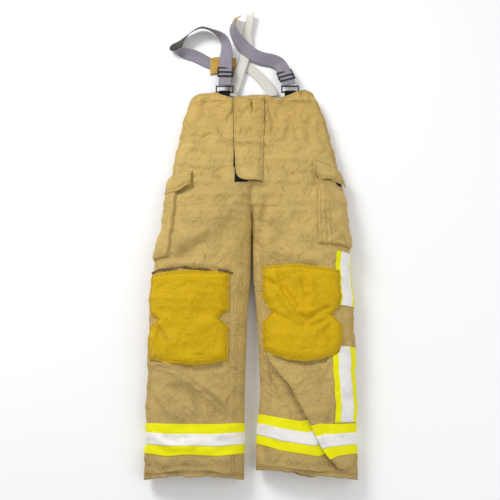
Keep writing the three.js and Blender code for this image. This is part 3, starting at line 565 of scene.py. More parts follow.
def woven(
    name, base, light, dark, thread, relief, roughness=0.85, sheen=0.05, worn=None, soiled_and_shaded=False, crumple=0.0
):
    """Cloth woven of spun yarn.

    Light catches the tops of the threads, and the yarn's uneven thickness shows as streaks."""
    material, tree, shader, coordinate = started(name)
    if tree is None:
        return material
    uv, place = coordinate.outputs["UV"], coordinate.outputs["Object"]
    streaks = []
    for stretch in ((900, 60, 1), (60, 900, 1)):
        slubs = add(tree, "Mapping", {"Vector": uv, "Scale": stretch})
        uneven = {"Vector": slubs.outputs[0], "Scale": 0.35, "Detail": 3, "Roughness": 0.6}
        streaks.append(add(tree, "TexNoise", uneven))
    crossed = add(tree, "Math", {0: streaks[0].outputs["Fac"], 1: streaks[1].outputs["Fac"]}, operation="ADD")
    cloudy = add(tree, "TexNoise", {"Vector": place, "Scale": 7, "Detail": 5, "Roughness": 0.62})
    tone = add(tree, "Math", {0: crossed.outputs[0], 1: cloudy.outputs["Fac"]}, operation="ADD")
    spread = add(tree, "MapRange", {"Value": tone.outputs[0], "From Min": 1.15, "From Max": 1.85})
    ramp = add(tree, "ValToRGB", {"Fac": spread.outputs[0]})
    ramp.color_ramp.elements[0].color = rgba(dark)
    ramp.color_ramp.elements[1].color = rgba(light)
    ramp.color_ramp.elements.new(0.5).color = rgba(base)
    shown = ramp.outputs[0]
    if worn:
        low, high = worn
        split = add(tree, "SeparateXYZ", {"Vector": place})
        blot = add(tree, "TexNoise", {"Vector": place, "Scale": 3, "Detail": 4})
        blotted = {0: blot.outputs["Fac"], 1: 0.45, 2: split.outputs["Y"]}
        spot = add(tree, "Math", blotted, operation="MULTIPLY_ADD")
        height = add(tree, "MapRange", {"Value": spot.outputs[0], "From Min": CUFF_Y + 0.2, "From Max": 0.65})
        bands = add(tree, "ValToRGB", {"Fac": height.outputs[0]})
        bands.color_ramp.elements[0].color = rgba(low)
        bands.color_ramp.elements[1].color = rgba(high)
        for where in (0.4, 0.72):
            bands.color_ramp.elements.new(where).color = rgba(base)
        shown = mixed(tree, WORN_SHARE, shown, bands.outputs[0])
    # The soil attribute holds real soil and the painted shade of the folds and the pleat, mixed in as the
    # soil colour.
    if soiled_and_shaded:
        soil_and_shade_marks = add(tree, "Attribute", attribute_name="soil_and_shade")
        speck = add(tree, "TexNoise", {"Vector": place, "Scale": 38, "Detail": 6, "Roughness": 0.7})
        patchy = {"Value": speck.outputs["Fac"], "From Min": 0.3, "From Max": 0.7, "To Min": 0.35}
        held = add(tree, "MapRange", patchy)
        amount = add(tree, "Math", {0: soil_and_shade_marks.outputs["Fac"], 1: held.outputs[0]}, operation="MULTIPLY")
        shown = mixed(tree, amount.outputs[0], shown, rgba(colours().soil_and_shade))
    tree.links.new(shown, shader.inputs["Base Color"])
    threads = []
    for direction in ("X", "Y"):
        threads.append(
            add(tree, "TexWave", {"Vector": uv, "Scale": WAVE_PERIOD / thread, "Distortion": 0.6},
                wave_type="BANDS", bands_direction=direction)
        )
    cloth = add(
        tree, "Math", {0: threads[0].outputs["Fac"], 1: threads[1].outputs["Fac"]}, operation="MULTIPLY"
    )
    heights = add(
        tree, "Math", {0: crossed.outputs[0], 1: 0.8, 2: cloth.outputs[0]}, operation="MULTIPLY_ADD"
    )
    bump = add(tree, "Bump", {"Strength": relief, "Distance": 0.4 * thread, "Height": heights.outputs[0]})
    if crumple:
        leaning = add(tree, "Mapping", {"Vector": place, "Rotation": (0, 0, 0.5), "Scale": (20, 17, 14)})
        rough = {"Vector": leaning.outputs[0], "Scale": 1, "Detail": 5, "Roughness": 0.6, "Distortion": 0.8}
        dents = add(tree, "TexNoise", rough)
        hollows = add(tree, "Bump", {"Strength": 1.0, "Distance": crumple, "Height": dents.outputs["Fac"]})
        tree.links.new(hollows.outputs[0], bump.inputs["Normal"])
    tree.links.new(bump.outputs[0], shader.inputs["Normal"])
    shader.inputs["Roughness"].default_value = roughness
    shader.inputs["Sheen Weight"].default_value = sheen
    shader.inputs["Sheen Roughness"].default_value = 0.5
    shader.inputs["Specular IOR Level"].default_value = 0.12
    return material


def shade(value, factor):
    return tuple(min(1, part * factor) for part in value)


def shell_cloth():
    # Aramid ripstop twill, piece-dyed tan and laundered many times: matt, with soil and painted shade in its
    # folds.
    c = colours()
    return woven("woven_aramid_shell", c.shell, shade(c.shell, 1.09), shade(c.shell, 0.86), 1.8 * MM, 0.5,
                 worn=(c.shell_low, c.shell_high), soiled_and_shaded=True, crumple=24 * MM)


def patch_cloth():
    # Aramid twill with a polymer coating: a deeper, slightly waxy yellow, rubbed where the knee works.
    c = colours()
    return woven("coated_aramid_patch", c.patch, shade(c.patch, 1.04), shade(c.patch, 0.92), 1.8 * MM, 0.3,
                 roughness=0.6, sheen=0, soiled_and_shaded=True, crumple=13 * MM)


def lime_tape():
    # Fluorescent polyester tape, closely woven: an even bright lime with faint ribs.
    c = colours()
    return woven(
        "woven_lime_tape", c.lime, shade(c.lime, 1.04), shade(c.lime, 0.94), 1.2 * MM, 0.2, roughness=0.6,
        crumple=4 * MM
    )


def binding_tape():
    # Cotton twill tape, dyed black: soft and lint-grey along its edges.
    c = colours()
    return woven("black_twill_tape", c.black, shade(c.black, 2.2), shade(c.black, 0.6), 1.6 * MM, 0.5)


def frayed_edge_and_shade():
    # A raw edge of coated cloth, worn open, with pale broken threads; its dark brown is partly the frayed
    # edge and partly painted shade under the bunched cloth above it.
    c = colours()
    return woven(
        "raw_edge_and_painted_shade", shade(c.shell, 0.35), shade(c.shell, 0.95), shade(c.soil_and_shade, 0.25), 1.4 * MM, 1.0
    )


def webbing_cloth(back):
    # Woven polyester webbing: ribs across the band, paler on its worn face than on its back.
    c = colours()
    base = c.webbing_back if back else c.webbing
    name = "webbing_back" if back else "woven_webbing"
    return woven(name, base, shade(base, 1.15), shade(base, 0.8), 1.9 * MM, 0.7, roughness=0.7)


def elastic_cloth():
    # Knitted elastic with covered rubber cords along it: off-white, with fine lengthwise ridges.
    c = colours()
    return woven(
        "knitted_elastic", c.elastic, shade(c.elastic, 1.05), shade(c.elastic, 0.88), 2.4 * MM, 0.8,
        roughness=0.8
    )


def barrier_film():
    # Polymer film laminated to a felt: cream, smooth and slightly shiny.
    c = colours()
    light, dark = shade(c.barrier, 1.05), shade(c.barrier, 0.9)
    return woven("laminated_barrier", c.barrier, light, dark, 1.4 * MM, 0.15, roughness=0.4, sheen=0)


def hook_tape():
    # Nylon hook tape: thousands of stiff little hooks that swallow the light.
    c = colours()
    return woven("nylon_hook_tape", c.black, shade(c.black, 2.5), shade(c.black, 0.5), 1.4 * MM, 1.0)


def quilted_liner():
    """Face cloth quilted to felt: shiny yarn in puffed diamonds, with a valley at each row of stitches."""
    c = colours()
    material, tree, shader, coordinate = started("quilted_thermal_liner")
    if tree is None:
        return material
    uv = coordinate.outputs["UV"]
    rows = []
    for turn in (math.radians(45), math.radians(-45)):
        turned = add(tree, "Mapping", {"Vector": uv, "Rotation": (0, 0, turn)})
        rows.append(add(tree, "TexWave", {"Vector": turned.outputs[0], "Scale": WAVE_PERIOD / 0.04}))
    puffs_and_valley_shade = add(tree, "Math", {0: rows[0].outputs["Fac"], 1: rows[1].outputs["Fac"]}, operation="MINIMUM")
    # Painted shade: the valleys between the puffs are darkened to 0.55 of the liner's colour.
    ramp = add(tree, "ValToRGB", {"Fac": puffs_and_valley_shade.outputs[0]})
    ramp.color_ramp.elements[0].color = rgba(shade(c.liner, 0.55))
    ramp.color_ramp.elements[1].color = rgba(c.liner)
    ramp.color_ramp.elements[1].position = 0.35
    bump = add(tree, "Bump", {"Strength": 0.8, "Distance": 0.002, "Height": puffs_and_valley_shade.outputs[0]})
    tree.links.new(ramp.outputs[0], shader.inputs["Base Color"])
    tree.links.new(bump.outputs[0], shader.inputs["Normal"])
    shader.inputs["Roughness"].default_value = 0.55
    return material


def silver_tape():
    """Glass beads bonded to cloth: a pale silver that stays bright, with wear cracks between the beads."""
    material, tree, shader, coordinate = started("glass_bead_silver")
    if tree is None:
        return material
    place = coordinate.outputs["Object"]
    wear = add(tree, "TexNoise", {"Vector": place, "Scale": 26, "Detail": 6, "Roughness": 0.65})
    ramp = add(tree, "ValToRGB", {"Fac": wear.outputs["Fac"]})
    ramp.color_ramp.elements[0].position = 0.32
    ramp.color_ramp.elements[0].color = rgba(shade(colours().silver, 0.82))
    ramp.color_ramp.elements[1].position = 0.5
    ramp.color_ramp.elements[1].color = rgba(colours().silver)
    beads = add(tree, "TexVoronoi", {"Vector": place, "Scale": 900})
    bump = add(tree, "Bump", {"Strength": 0.15, "Distance": 0.0004, "Height": beads.outputs["Distance"]})
    tree.links.new(ramp.outputs[0], shader.inputs["Base Color"])
    tree.links.new(bump.outputs[0], shader.inputs["Normal"])
    shader.inputs["Roughness"].default_value = 0.6
    shader.inputs["Metallic"].default_value = 0.05
    shader.inputs["Specular IOR Level"].default_value = 0.3
    return material


def grained(name, base, roughness, metallic, grain, depth, low, high):
    """A moulded, cast or brushed surface with fine grain and rubbed places."""
    material, tree, shader, coordinate = started(name)
    if tree is None:
        return material
    place = coordinate.outputs["Object"]
    rubbed = add(tree, "TexNoise", {"Vector": place, "Scale": 60, "Detail": 5, "Roughness": 0.6})
    ramp = add(tree, "ValToRGB", {"Fac": rubbed.outputs["Fac"]})
    ramp.color_ramp.elements[0].position = 0.35
    ramp.color_ramp.elements[0].color = rgba(shade(base, low))
    ramp.color_ramp.elements[1].position = 0.7
    ramp.color_ramp.elements[1].color = rgba(shade(base, high))
    polish = add(
        tree, "MapRange",
        {"Value": rubbed.outputs["Fac"], "To Min": roughness - 0.1, "To Max": roughness + 0.15}
    )
    texture = add(tree, "TexNoise", {"Vector": place, "Scale": 1 / grain, "Detail": 4})
    bump = add(tree, "Bump", {"Strength": 0.4, "Distance": depth, "Height": texture.outputs["Fac"]})
    tree.links.new(ramp.outputs[0], shader.inputs["Base Color"])
    tree.links.new(polish.outputs[0], shader.inputs["Roughness"])
    tree.links.new(bump.outputs[0], shader.inputs["Normal"])
    shader.inputs["Metallic"].default_value = metallic
    return material


def black_acetal():
    # Injection-moulded acetal: near black with a fine spark-eroded grain, greyer where it is rubbed.
    return grained("moulded_black_acetal", colours().black, 0.42, 0, 0.6 * MM, 0.1 * MM, 0.8, 1.9)


def brass_metal():
    # Die-cast zipper brass, lacquered and worn: dull gold with brighter rubbed teeth.
    return grained("cast_zipper_brass", colours().brass, 0.35, 1, 0.8 * MM, 0.05 * MM, 0.7, 1.15)


def suede_leather():
    # Split cowhide, buffed: a short velvety nap with cloudy darker places.
    material = grained("buffed_split_suede", colours().suede, 0.85, 0, 1.5 * MM, 0.5 * MM, 0.78, 1.1)
    material.node_tree.nodes["Principled BSDF"].inputs["Sheen Weight"].default_value = 0.4
    return material


def knee_foam():
    # Cross-linked closed-cell foam: matt grey with a fine skin.
    return grained("closed_cell_foam", colours().foam, 0.8, 0, 2 * MM, 0.4 * MM, 0.85, 1.1)


def sewing_thread():
    # Spun aramid thread: dull gold, darker than the cloth where it has worn.
    return grained("spun_aramid_thread", colours().thread, 0.75, 0, 0.5 * MM, 0.1 * MM, 0.7, 1.15)


# ---- Making pieces ----


def linked(name, mesh, *materials):
    piece = bpy.data.objects.new(name, mesh)
    bpy.context.scene.collection.objects.link(piece)
    for material in materials:
        mesh.materials.append(material)
    mesh.polygons.foreach_set("use_smooth", np.ones(len(mesh.polygons), bool))
    return piece


def meshed(bm, name):
    """The bmesh's mesh data. The bmesh is freed."""
    mesh = bpy.data.meshes.new(name)
    bm.to_mesh(mesh)
    bm.free()
    return mesh


def laid(name, across, up, place, outward, *materials, wall=None, offset=-1, front=False):
    """A piece of cloth: a grid whose points place(u, v) puts, with its thickness turned away from outward."""
    bm = bmesh.new()
    bmesh.ops.create_grid(bm, x_segments=across, y_segments=up, size=0.5)
    bm.verts.ensure_lookup_table()
    spots = np.array([v.co[:2] for v in bm.verts]) + 0.5
    points = place(spots[:, 0], spots[:, 1])
    order = np.lexsort((np.round(spots[:, 0] * across), np.round(spots[:, 1] * up)))
    grid = points[order].reshape(up + 1, across + 1, 3)
    way = []
    for axis in (1, 0):
        steps = np.diff(grid, axis=axis, prepend=grid.take([0], axis))
        way.append(np.cumsum(np.linalg.norm(steps, axis=2), axis=axis))
    way[0] -= way[0][:, across // 2][:, None]
    u = np.zeros(len(points))
    v = np.zeros(len(points))
    u[order], v[order] = way[0].ravel(), way[1].ravel()
    # Soil and painted shade at each point, kept as a point attribute.
    soil_and_shade = soil_and_shade_at(points, front)
    dirt_and_shade = bm.verts.layers.float.new("soil_and_shade")
    layer = bm.loops.layers.uv.new("UVMap")
    for i, vert in enumerate(bm.verts):
        vert.co = points[i]
        vert[dirt_and_shade] = soil_and_shade[i]
    bm.normal_update()
    if sum((f.normal * f.calc_area() for f in bm.faces), Vector()).dot(Vector(outward)) < 0:
        bmesh.ops.reverse_faces(bm, faces=bm.faces)
    for face in bm.faces:
        for loop in face.loops:
            i = loop.vert.index
            loop[layer].uv = (u[i], v[i])
    piece = linked(name, meshed(bm, name), *materials)
    if wall:
        skin = piece.modifiers.new("Cloth thickness", "SOLIDIFY")
        skin.thickness, skin.offset = wall, offset
        skin.use_even_offset = False
        if len(materials) > 1:
            skin.material_offset = 1
    return piece


def bent(piece):
    """Bakes the piece's place into its mesh."""
    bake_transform(piece)


# How far a row of stitches stands over the cloth, in metres.
THREAD_RISE = 0.6 * MM


class Sewing:
    """Rows of stitches that go into one piece."""

    def __init__(self):
        self.bm = bmesh.new()

    def row(self, points):
        """Stitches along a line of points."""
        s = sizes()
        steps = np.linalg.norm(np.diff(points, axis=0), axis=1)
        run = np.concatenate([[0], np.cumsum(steps)])
        count = int(run[-1] / s.stitch_pitch)
        for k in range(count):
            at = (k + 0.5) * s.stitch_pitch
            place = Vector([np.interp(at, run, points[:, i]) for i in range(3)])
            ahead = Vector([np.interp(at + MM, run, points[:, i]) for i in range(3)])
            way = ahead - place
            if way.length < 1e-6:
                continue
            turn = way.to_track_quat("X", "Z").to_matrix().to_4x4()
            size = Matrix.Diagonal((s.stitch / 2, s.thread / 2, s.thread / 2, 1))
            matrix = Matrix.Translation(place) @ turn @ size
            bmesh.ops.create_icosphere(self.bm, subdivisions=1, radius=1, matrix=matrix)

    def done(self, name):
        return linked(name, meshed(self.bm, name), sewing_thread())


def refined(node, material, name, body, edge=0.4 * MM):
    """A copy of a CAD node with its edges rounded, that stands for it."""
    bm = bmesh.new()
    bm.from_mesh(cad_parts[node].data)
    bmesh.ops.remove_doubles(bm, verts=bm.verts, dist=0.01 * MM)
    bmesh.ops.dissolve_limit(bm, angle_limit=math.radians(2), verts=bm.verts, edges=bm.edges)
    sharp = [e for e in bm.edges if len(e.link_faces) == 2 and e.calc_face_angle(0) > math.radians(35)]
    rounding = {"segments": 2, "profile": 0.5, "affect": "EDGES", "material": -1, "clamp_overlap": True}
    bmesh.ops.bevel(bm, geom=sharp, offset=edge, **rounding)
    piece = linked(name, meshed(bm, name), material)
    piece.modifiers.new("Corners", "WEIGHTED_NORMAL")
    finish_piece(piece, [node], body=body)


def finish_piece(piece, nodes, body=None):
    """Attaches a piece to its body, if it has one, and hides the CAD nodes that it stands for."""
    if body:
        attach(piece, body)
    if nodes:
        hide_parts(*nodes)


def rim_height(side, face, t):
    """The waist's upper edge at a share across a panel, in metres."""
    outer, _, _, _ = profile(side, np.full(len(t), sizes().length))
    return table(RIM[face], SIGN[side] * outer * (1 - t) / MM) * MM


# ---- Operators ----


def spread_out(grid):
    """A grid of moves, averaged over about 15 cm, which is the sag that the section's shape already has."""
    for axis, reach in ((0, 8), (1, 5), (0, 8), (1, 5)):
        pads = [(reach, reach) if k == axis else (0, 0) for k in range(3)]
        sums = np.cumsum(np.pad(grid, pads, mode="edge"), axis=axis)
        count = grid.shape[axis]
        sums = np.insert(sums, 0, 0, axis=axis)
        size = 2 * reach + 1
        grid = (np.take(sums, range(size, size + count), axis) - np.take(sums, range(count), axis)) / size
    return grid


def limited(grid, reach):
    """Moves with their length held under reach."""
    far = np.maximum(np.linalg.norm(grid, axis=-1, keepdims=True), 1e-9)
    return grid * np.tanh(far / reach) * reach / far


# The body that the cloth settles over: the middle of each leg, and how much smaller than the cloth it is.
CORE = {"x": 0.13, "z": 0.035, "flatter": 0.8, "narrower": 0.955}


def simulated_drape():
    """Lets a heavy cloth tube settle over a slightly smaller body, and keeps how far its points moved."""
    s = sizes()
    scene = bpy.context.scene
    rest = {}
    bm, core = bmesh.new(), bmesh.new()
    for side in SIDES:
        for face in FACES:
            across, up = DRAPE_COLUMNS - 1, DRAPE_ROWS - 1
            t = share_across(np.tile(np.linspace(0, 1, DRAPE_COLUMNS), DRAPE_ROWS))
            height = np.repeat(np.linspace(0, s.length, DRAPE_ROWS), DRAPE_COLUMNS)
            points = section(side, face, t, height)
            rest[side, face] = points.reshape(DRAPE_ROWS, DRAPE_COLUMNS, 3)
            middle = CENTRE_X + SIGN[side] * CORE["x"]
            shrunk = points.copy()
            shrunk[:, 2] = CORE["z"] + (points[:, 2] - CORE["z"]) * CORE["flatter"]
            shrunk[:, 0] = middle + (points[:, 0] - middle) * CORE["narrower"]
            for target, spots in ((bm, points), (core, shrunk)):
                made = bmesh.ops.create_grid(target, x_segments=across, y_segments=up, size=0.5)["verts"]
                made.sort(key=lambda v: (round(v.co.y * up), round(v.co.x * across)))
                for vert, spot in zip(made, spots):
                    vert.co = spot
    meshes = []
    for target in (bm, core):
        bmesh.ops.remove_doubles(target, verts=target.verts, dist=0.1 * MM)
        bmesh.ops.recalc_face_normals(target, faces=target.faces)
        meshes.append(meshed(target, "drape"))
    cloth, body = [bpy.data.objects.new(name, mesh) for name, mesh in zip(("drape", "core"), meshes)]
    for piece in (cloth, body):
        scene.collection.objects.link(piece)
    start = coordinates(meshes[0])
    group = cloth.vertex_groups.new(name="held")
    up = start[:, 1] - CUFF_Y
    across = np.abs(start[:, 0] - CENTRE_X)
    hold = np.full(len(start), 0.01)
    hold = np.maximum(hold, smooth((up - s.length + 0.05) / 0.04))
    hold = np.maximum(hold, 0.7 * smooth((0.05 - across) / 0.03) * (up > 0.74))
    hold = np.maximum(hold, 0.3 * smooth((0.03 - up) / 0.03))
    for i, weight in enumerate(hold):
        group.add([i], float(weight), "REPLACE")
    body.modifiers.new("Collision", "COLLISION")
    body.collision.thickness_outer = 1.5 * MM
    body.collision.cloth_friction = 20
    modifier = cloth.modifiers.new("Cloth", "CLOTH")
    settings = modifier.settings
    settings.quality = 6
    settings.mass = 0.35
    settings.air_damping = 1.5
    settings.tension_stiffness = settings.compression_stiffness = 22
    settings.shear_stiffness = 8
    settings.bending_stiffness = 0.8
    settings.vertex_group_mass = "held"
    settings.pin_stiffness = 1
    settings.shrink_min = -0.055
    modifier.collision_settings.distance_min = 2 * MM
    modifier.collision_settings.collision_quality = 2
    modifier.collision_settings.use_self_collision = False
    modifier.point_cache.frame_start = 1
    modifier.point_cache.frame_end = s.frames
    for number in range(1, s.frames + 1):
        scene.frame_set(number)
    evaluated = cloth.evaluated_get(bpy.context.evaluated_depsgraph_get())
    moved = coordinates(evaluated.data) - start
    tree = KDTree(len(start))
    for i, point in enumerate(start):
        tree.insert(point, i)
    tree.balance()
    for key, grid in rest.items():
        found = [tree.find(point)[1] for point in grid.reshape(-1, 3)]
        whole = moved[found].reshape(DRAPE_ROWS, DRAPE_COLUMNS, 3)
        DRAPE[key] = limited((whole - spread_out(whole)) * DRAPE_GAIN, DRAPE_LIMIT)
        if key[1] == "back":
            DRAPE[key][..., 2] = 0
    for piece in (cloth, body):
        bpy.data.objects.remove(piece)
    scene.frame_set(1)


class BUNKER_OT_shell(bpy.types.Operator):
    """Drape the outer shell and lay its four panels"""

    bl_idname = "bunker.shell"
    bl_label = "Outer shell"

    def execute(self, context):
        s = sizes()
        simulated_drape()
        for side in SIDES:
            for face in FACES:
                def place(u, v, side=side, face=face):
                    t = share_across(u)
                    up = v * lerp(s.length, rim_height(side, face, t), smooth((v - 0.8) / 0.2))
                    hem = 1.6 * np.sin(23 * t) + 1.1 * np.sin(51 * t + 1)
                    up = up + MM * hem * 4 * t * (1 - t) * smooth((0.05 - up) / 0.05)
                    return surface(side, face, t, up)

                front = face == "front"
                across, up = (128, 330) if front else (44, 150)
                name = f"{side}_{face}_shell_panel"
                piece = laid(name, across, up, place, OUT[face], shell_cloth(), wall=s.shell, front=front)
                bent(piece)
                nodes = [f"shell_{face}_{side}_{part}" for part in ("thigh", "shin")]
                finish_piece(piece, nodes)
        return {"FINISHED"}


class BUNKER_OT_linings(bpy.types.Operator):
    """Lay the moisture barrier, the quilted liner and the waist's facing inside the shell"""

    bl_idname = "bunker.linings"
    bl_label = "Linings"

    def execute(self, context):
        s = sizes()
        gap = 0.5 * MM
        liner_depth = s.shell + s.barrier + 2 * gap
        layers = {
            "moisture_barrier": (s.shell + gap, s.barrier, barrier_film(), "moisture_barrier", 0.014),
            "thermal_liner": (liner_depth, s.liner, quilted_liner(), "thermal_liner", 0.016),
        }
        for layer, (depth, wall, material, slot, rise) in layers.items():
            for side in SIDES:
                for face in FACES:
                    def place(u, v, side=side, face=face, depth=depth, rise=rise):
                        t = 0.01 + 0.98 * share_across(u)
                        top = rim_height(side, face, t) - 0.012
                        up = lerp(rise, top, v)
                        points = surface(side, face, t, up, -depth)
                        if face == "front":
                            folded = pressed(section(side, face, t, up))[0]
                            points[:, 2] -= 0.45 * np.linalg.norm(folded, axis=1)
                        return points

                    piece = laid(f"{layer}_{side}_{face}", 36, 110, place, OUT[face], material, wall=wall)
                    bent(piece)
                    nodes = [f"{layer}_{face}_{side}_thigh", f"{layer}_{side}_shin"]
                    finish_piece(piece, nodes)
        facing_depth = s.shell + s.barrier + s.liner + 3 * gap
        for face in FACES:
            def facing(u, v, face=face):
                around = 2 * u - 1
                points = np.zeros((len(u), 3))
                for side in SIDES:
                    mine = (around < 0) == (side == "right")
                    t = share_across(1 - np.abs(around[mine]))
                    top = rim_height(side, face, t)
                    up = lerp(top - 0.06, top + 0.0015, v[mine])
                    sunk = facing_depth * smooth(3 - 3 * v[mine]) + gap
                    points[mine] = surface(side, face, t, up, -sunk)
                return points

            piece = laid(f"waist_facing_{face}", 96, 10, facing, OUT[face], binding_tape(), wall=1 * MM)
            finish_piece(piece, ["waist_facing"], body="root")
        return {"FINISHED"}


# The fly flap in millimetres: its free edge on the left as (height, place), its sewn edge, its ends and the
# radius of its rounded corner.
FLY = {
    "left": [(743, -43), (813, -46), (892, -50), (1030, -54)],
    "right_low": 28, "right_top": 38, "bottom": 743, "top": 1030, "corner": 32,
}
# How high the flap lies over the shell, as (place, height), and its bends, as (line, width, height).
FLY_LIFT = [(-70, 4.6), (-30, 4.6), (-16, 7.4), (12, 7.4), (26, 2.6), (60, 2.4)]
FLY_BENDS = [
    ([(-60, 955), (45, 950)], 9, 3),
    ([(-60, 893), (45, 884)], 8, -4),
    ([(-60, 872), (45, 866)], 9, 4),
    ([(-60, 850), (45, 843)], 7, -4),
    ([(-20, 850), (0, 812), (8, 800)], 9, 3),
]
FLY_BEND_SHARE = 0.6
# The hook and loop strips' sides and ends.
FLY_STRIP = {"sides": (-50, -32), "ends": (FLY["bottom"] + 46, 1018)}


def fly_edges(up):
    """The flap's free and sewn edges at a height, in millimetres."""
    free = table(FLY["left"], up)
    rise = np.clip(up - FLY["bottom"], 0, FLY["corner"])
    free = free + FLY["corner"] - np.sqrt(FLY["corner"] ** 2 - (FLY["corner"] - rise) ** 2)
    sewn = lerp(FLY["right_low"], FLY["right_top"], (up - FLY["bottom"]) / (FLY["top"] - FLY["bottom"]))
    return free, sewn


def rolled(piece):
    """Bakes the piece's place into its mesh."""
    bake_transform(piece)


def fly_point(x, up, extra=0.0):
    lift = table(FLY_LIFT, x) + extra
    points = over_front(x, up, lift, folds=False)
    for line, width, height in FLY_BENDS:
        signed, _, _ = near_line(np.stack([x, up], axis=1), line)
        points[:, 2] += FLY_BEND_SHARE * height * MM * np.exp(-((signed / width) ** 2))
    return points


class BUNKER_OT_fly(bpy.types.Operator):
    """Make the fly flap with its lining, hook and loop strips, and the shield behind the zipper"""

    bl_idname = "bunker.fly"
    bl_label = "Fly"

    def execute(self, context):
        def flap(u, v, inset, extra):
            up = lerp(FLY["bottom"] + inset, FLY["top"], v**1.25)
            free, sewn = fly_edges(up)
            return fly_point(lerp(free + inset, sewn, u), up, extra)

        def outside(u, v):
            return flap(u, v, 0, 1.0)

        def inside(u, v):
            return flap(u, v, -1.2, -0.8)

        outer = laid("fly_flap_face", 34, 110, outside, UP, shell_cloth(), wall=1.5 * MM, front=True)
        rolled(outer)
        finish_piece(outer, ["fly_flap"])
        under = laid("fly_flap_lining", 24, 80, inside, UP, binding_tape(), wall=1 * MM)
        rolled(under)
        finish_piece(under, [])
        strips = {
            "fly_hook_strip": (lambda x, up: fly_point(x, up, -2.0), "fly_flap"),
            "fly_loop_strip": (lambda x, up: over_front(x, up, 1.4, folds=False), "root"),
        }
        for name, (lies, body) in strips.items():
            def strip(u, v, lies=lies):
                return lies(lerp(*FLY_STRIP["sides"], u), lerp(*FLY_STRIP["ends"], v))

            piece = laid(f"{name}_tape", 8, 60, strip, UP, hook_tape(), wall=1 * MM)
            finish_piece(piece, [name], body=body)

        def shield(u, v):
            x, up = lerp(-44, 42, u), lerp(FLY["bottom"] - 4, 1036, v)
            return over_front(x, up, -2.2)

        # Painted shade: a strip of black tape lies under the flap's rounded lower corner, where the gap under
        # the flap is in shade.
        def slot(u, v):
            return over_front(lerp(-47, -12, u), lerp(742, 812, v), 0.5, folds=False)

        piece = laid("fly_shield_cloth", 24, 70, shield, UP, binding_tape(), wall=1.2 * MM)
        finish_piece(piece, ["fly_shield"], body="root")
        piece = laid("fly_corner_gap_shade", 12, 16, slot, UP, binding_tape(), wall=0.6 * MM)
        finish_piece(piece, [], body="root")
        return {"FINISHED"}


class BUNKER_OT_zipper(bpy.types.Operator):
    """Make the zipper's tapes, teeth, slider and pull"""

    bl_idname = "bunker.zipper"
    bl_label = "Zipper"

    def execute(self, context):
        low, high = [(corner.y - CUFF_Y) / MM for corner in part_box("zipper_half_left")]
        for side in SIDES:
            sign = SIGN[side]

            def tape(u, v, sign=sign):
                return over_front(sign * lerp(1, 14, u), lerp(low, high, v), 1.0, folds=False)

            piece = laid(f"zipper_tape_{side}", 6, 60, tape, UP, binding_tape(), wall=0.8 * MM)
            finish_piece(piece, [f"zipper_half_{side}"], body="root")
            bm = bmesh.new()
            heights = np.arange(low + 3, high - 2, 4) + (2 if side == "left" else 0)
            centres = over_front(np.full(len(heights), sign * 1.6), heights, 2.2, folds=False)
            for centre in centres:
                size = Matrix.Diagonal((4.4 * MM, 2 * MM, 2.4 * MM, 1))
                bmesh.ops.create_cube(bm, size=1, matrix=Matrix.Translation(centre) @ size)
            bmesh.ops.bevel(
                bm, geom=bm.edges[:], offset=0.4 * MM, segments=1, profile=0.5, affect="EDGES", material=-1
            )
            teeth = linked(f"zipper_teeth_{side}", meshed(bm, f"zipper_teeth_{side}"), brass_metal())
            finish_piece(teeth, [f"zipper_half_{side}"], body="root")
        for node, name in (("zipper_slider", "zipper_slider_body"), ("zipper_pull", "zipper_pull_leaf")):
            refined(node, brass_metal(), name, "zipper_slider", 0.3 * MM)
        return {"FINISHED"}


# Cargo pockets, in millimetres: the bag's inner edge at its top and bottom, its mouth and bottom,
# and the flap's outline.
POCKET = {
    "right": {
        "inner_top": 194, "inner_low": 207, "mouth": 742, "bottom": 530, "band": None, "corner": 1.5,
        "flap_top": [(159, 781), (200, 783), (240, 784)],
        "flap_low": [(159, 735), (174, 729), (186, 719), (200, 716), (244, 722)],
    },
    "left": {
        "inner_top": 171, "inner_low": 168, "mouth": 752, "bottom": 564, "band": 21, "corner": 3.5,
        "flap_top": [(163, 816), (205, 805), (256, 792)],
        "flap_low": [(163, 776), (172, 757), (182, 750), (200, 752), (232, 747), (262, 744)],
    },
}
POCKET_DEPTH = 8.6
FLAP_RISE = 9.6
# Folds in the left pocket's bag: line, width and height.
BAG_FOLDS = [
    ([(188, 564), (212, 585), (233, 611)], 6, 3),
    ([(192, 562), (225, 566), (262, 580)], 6, 3),
    ([(205, 680), (218, 655), (214, 630)], 9, -2),
    ([(200, 620), (245, 640)], 10, 2),
]


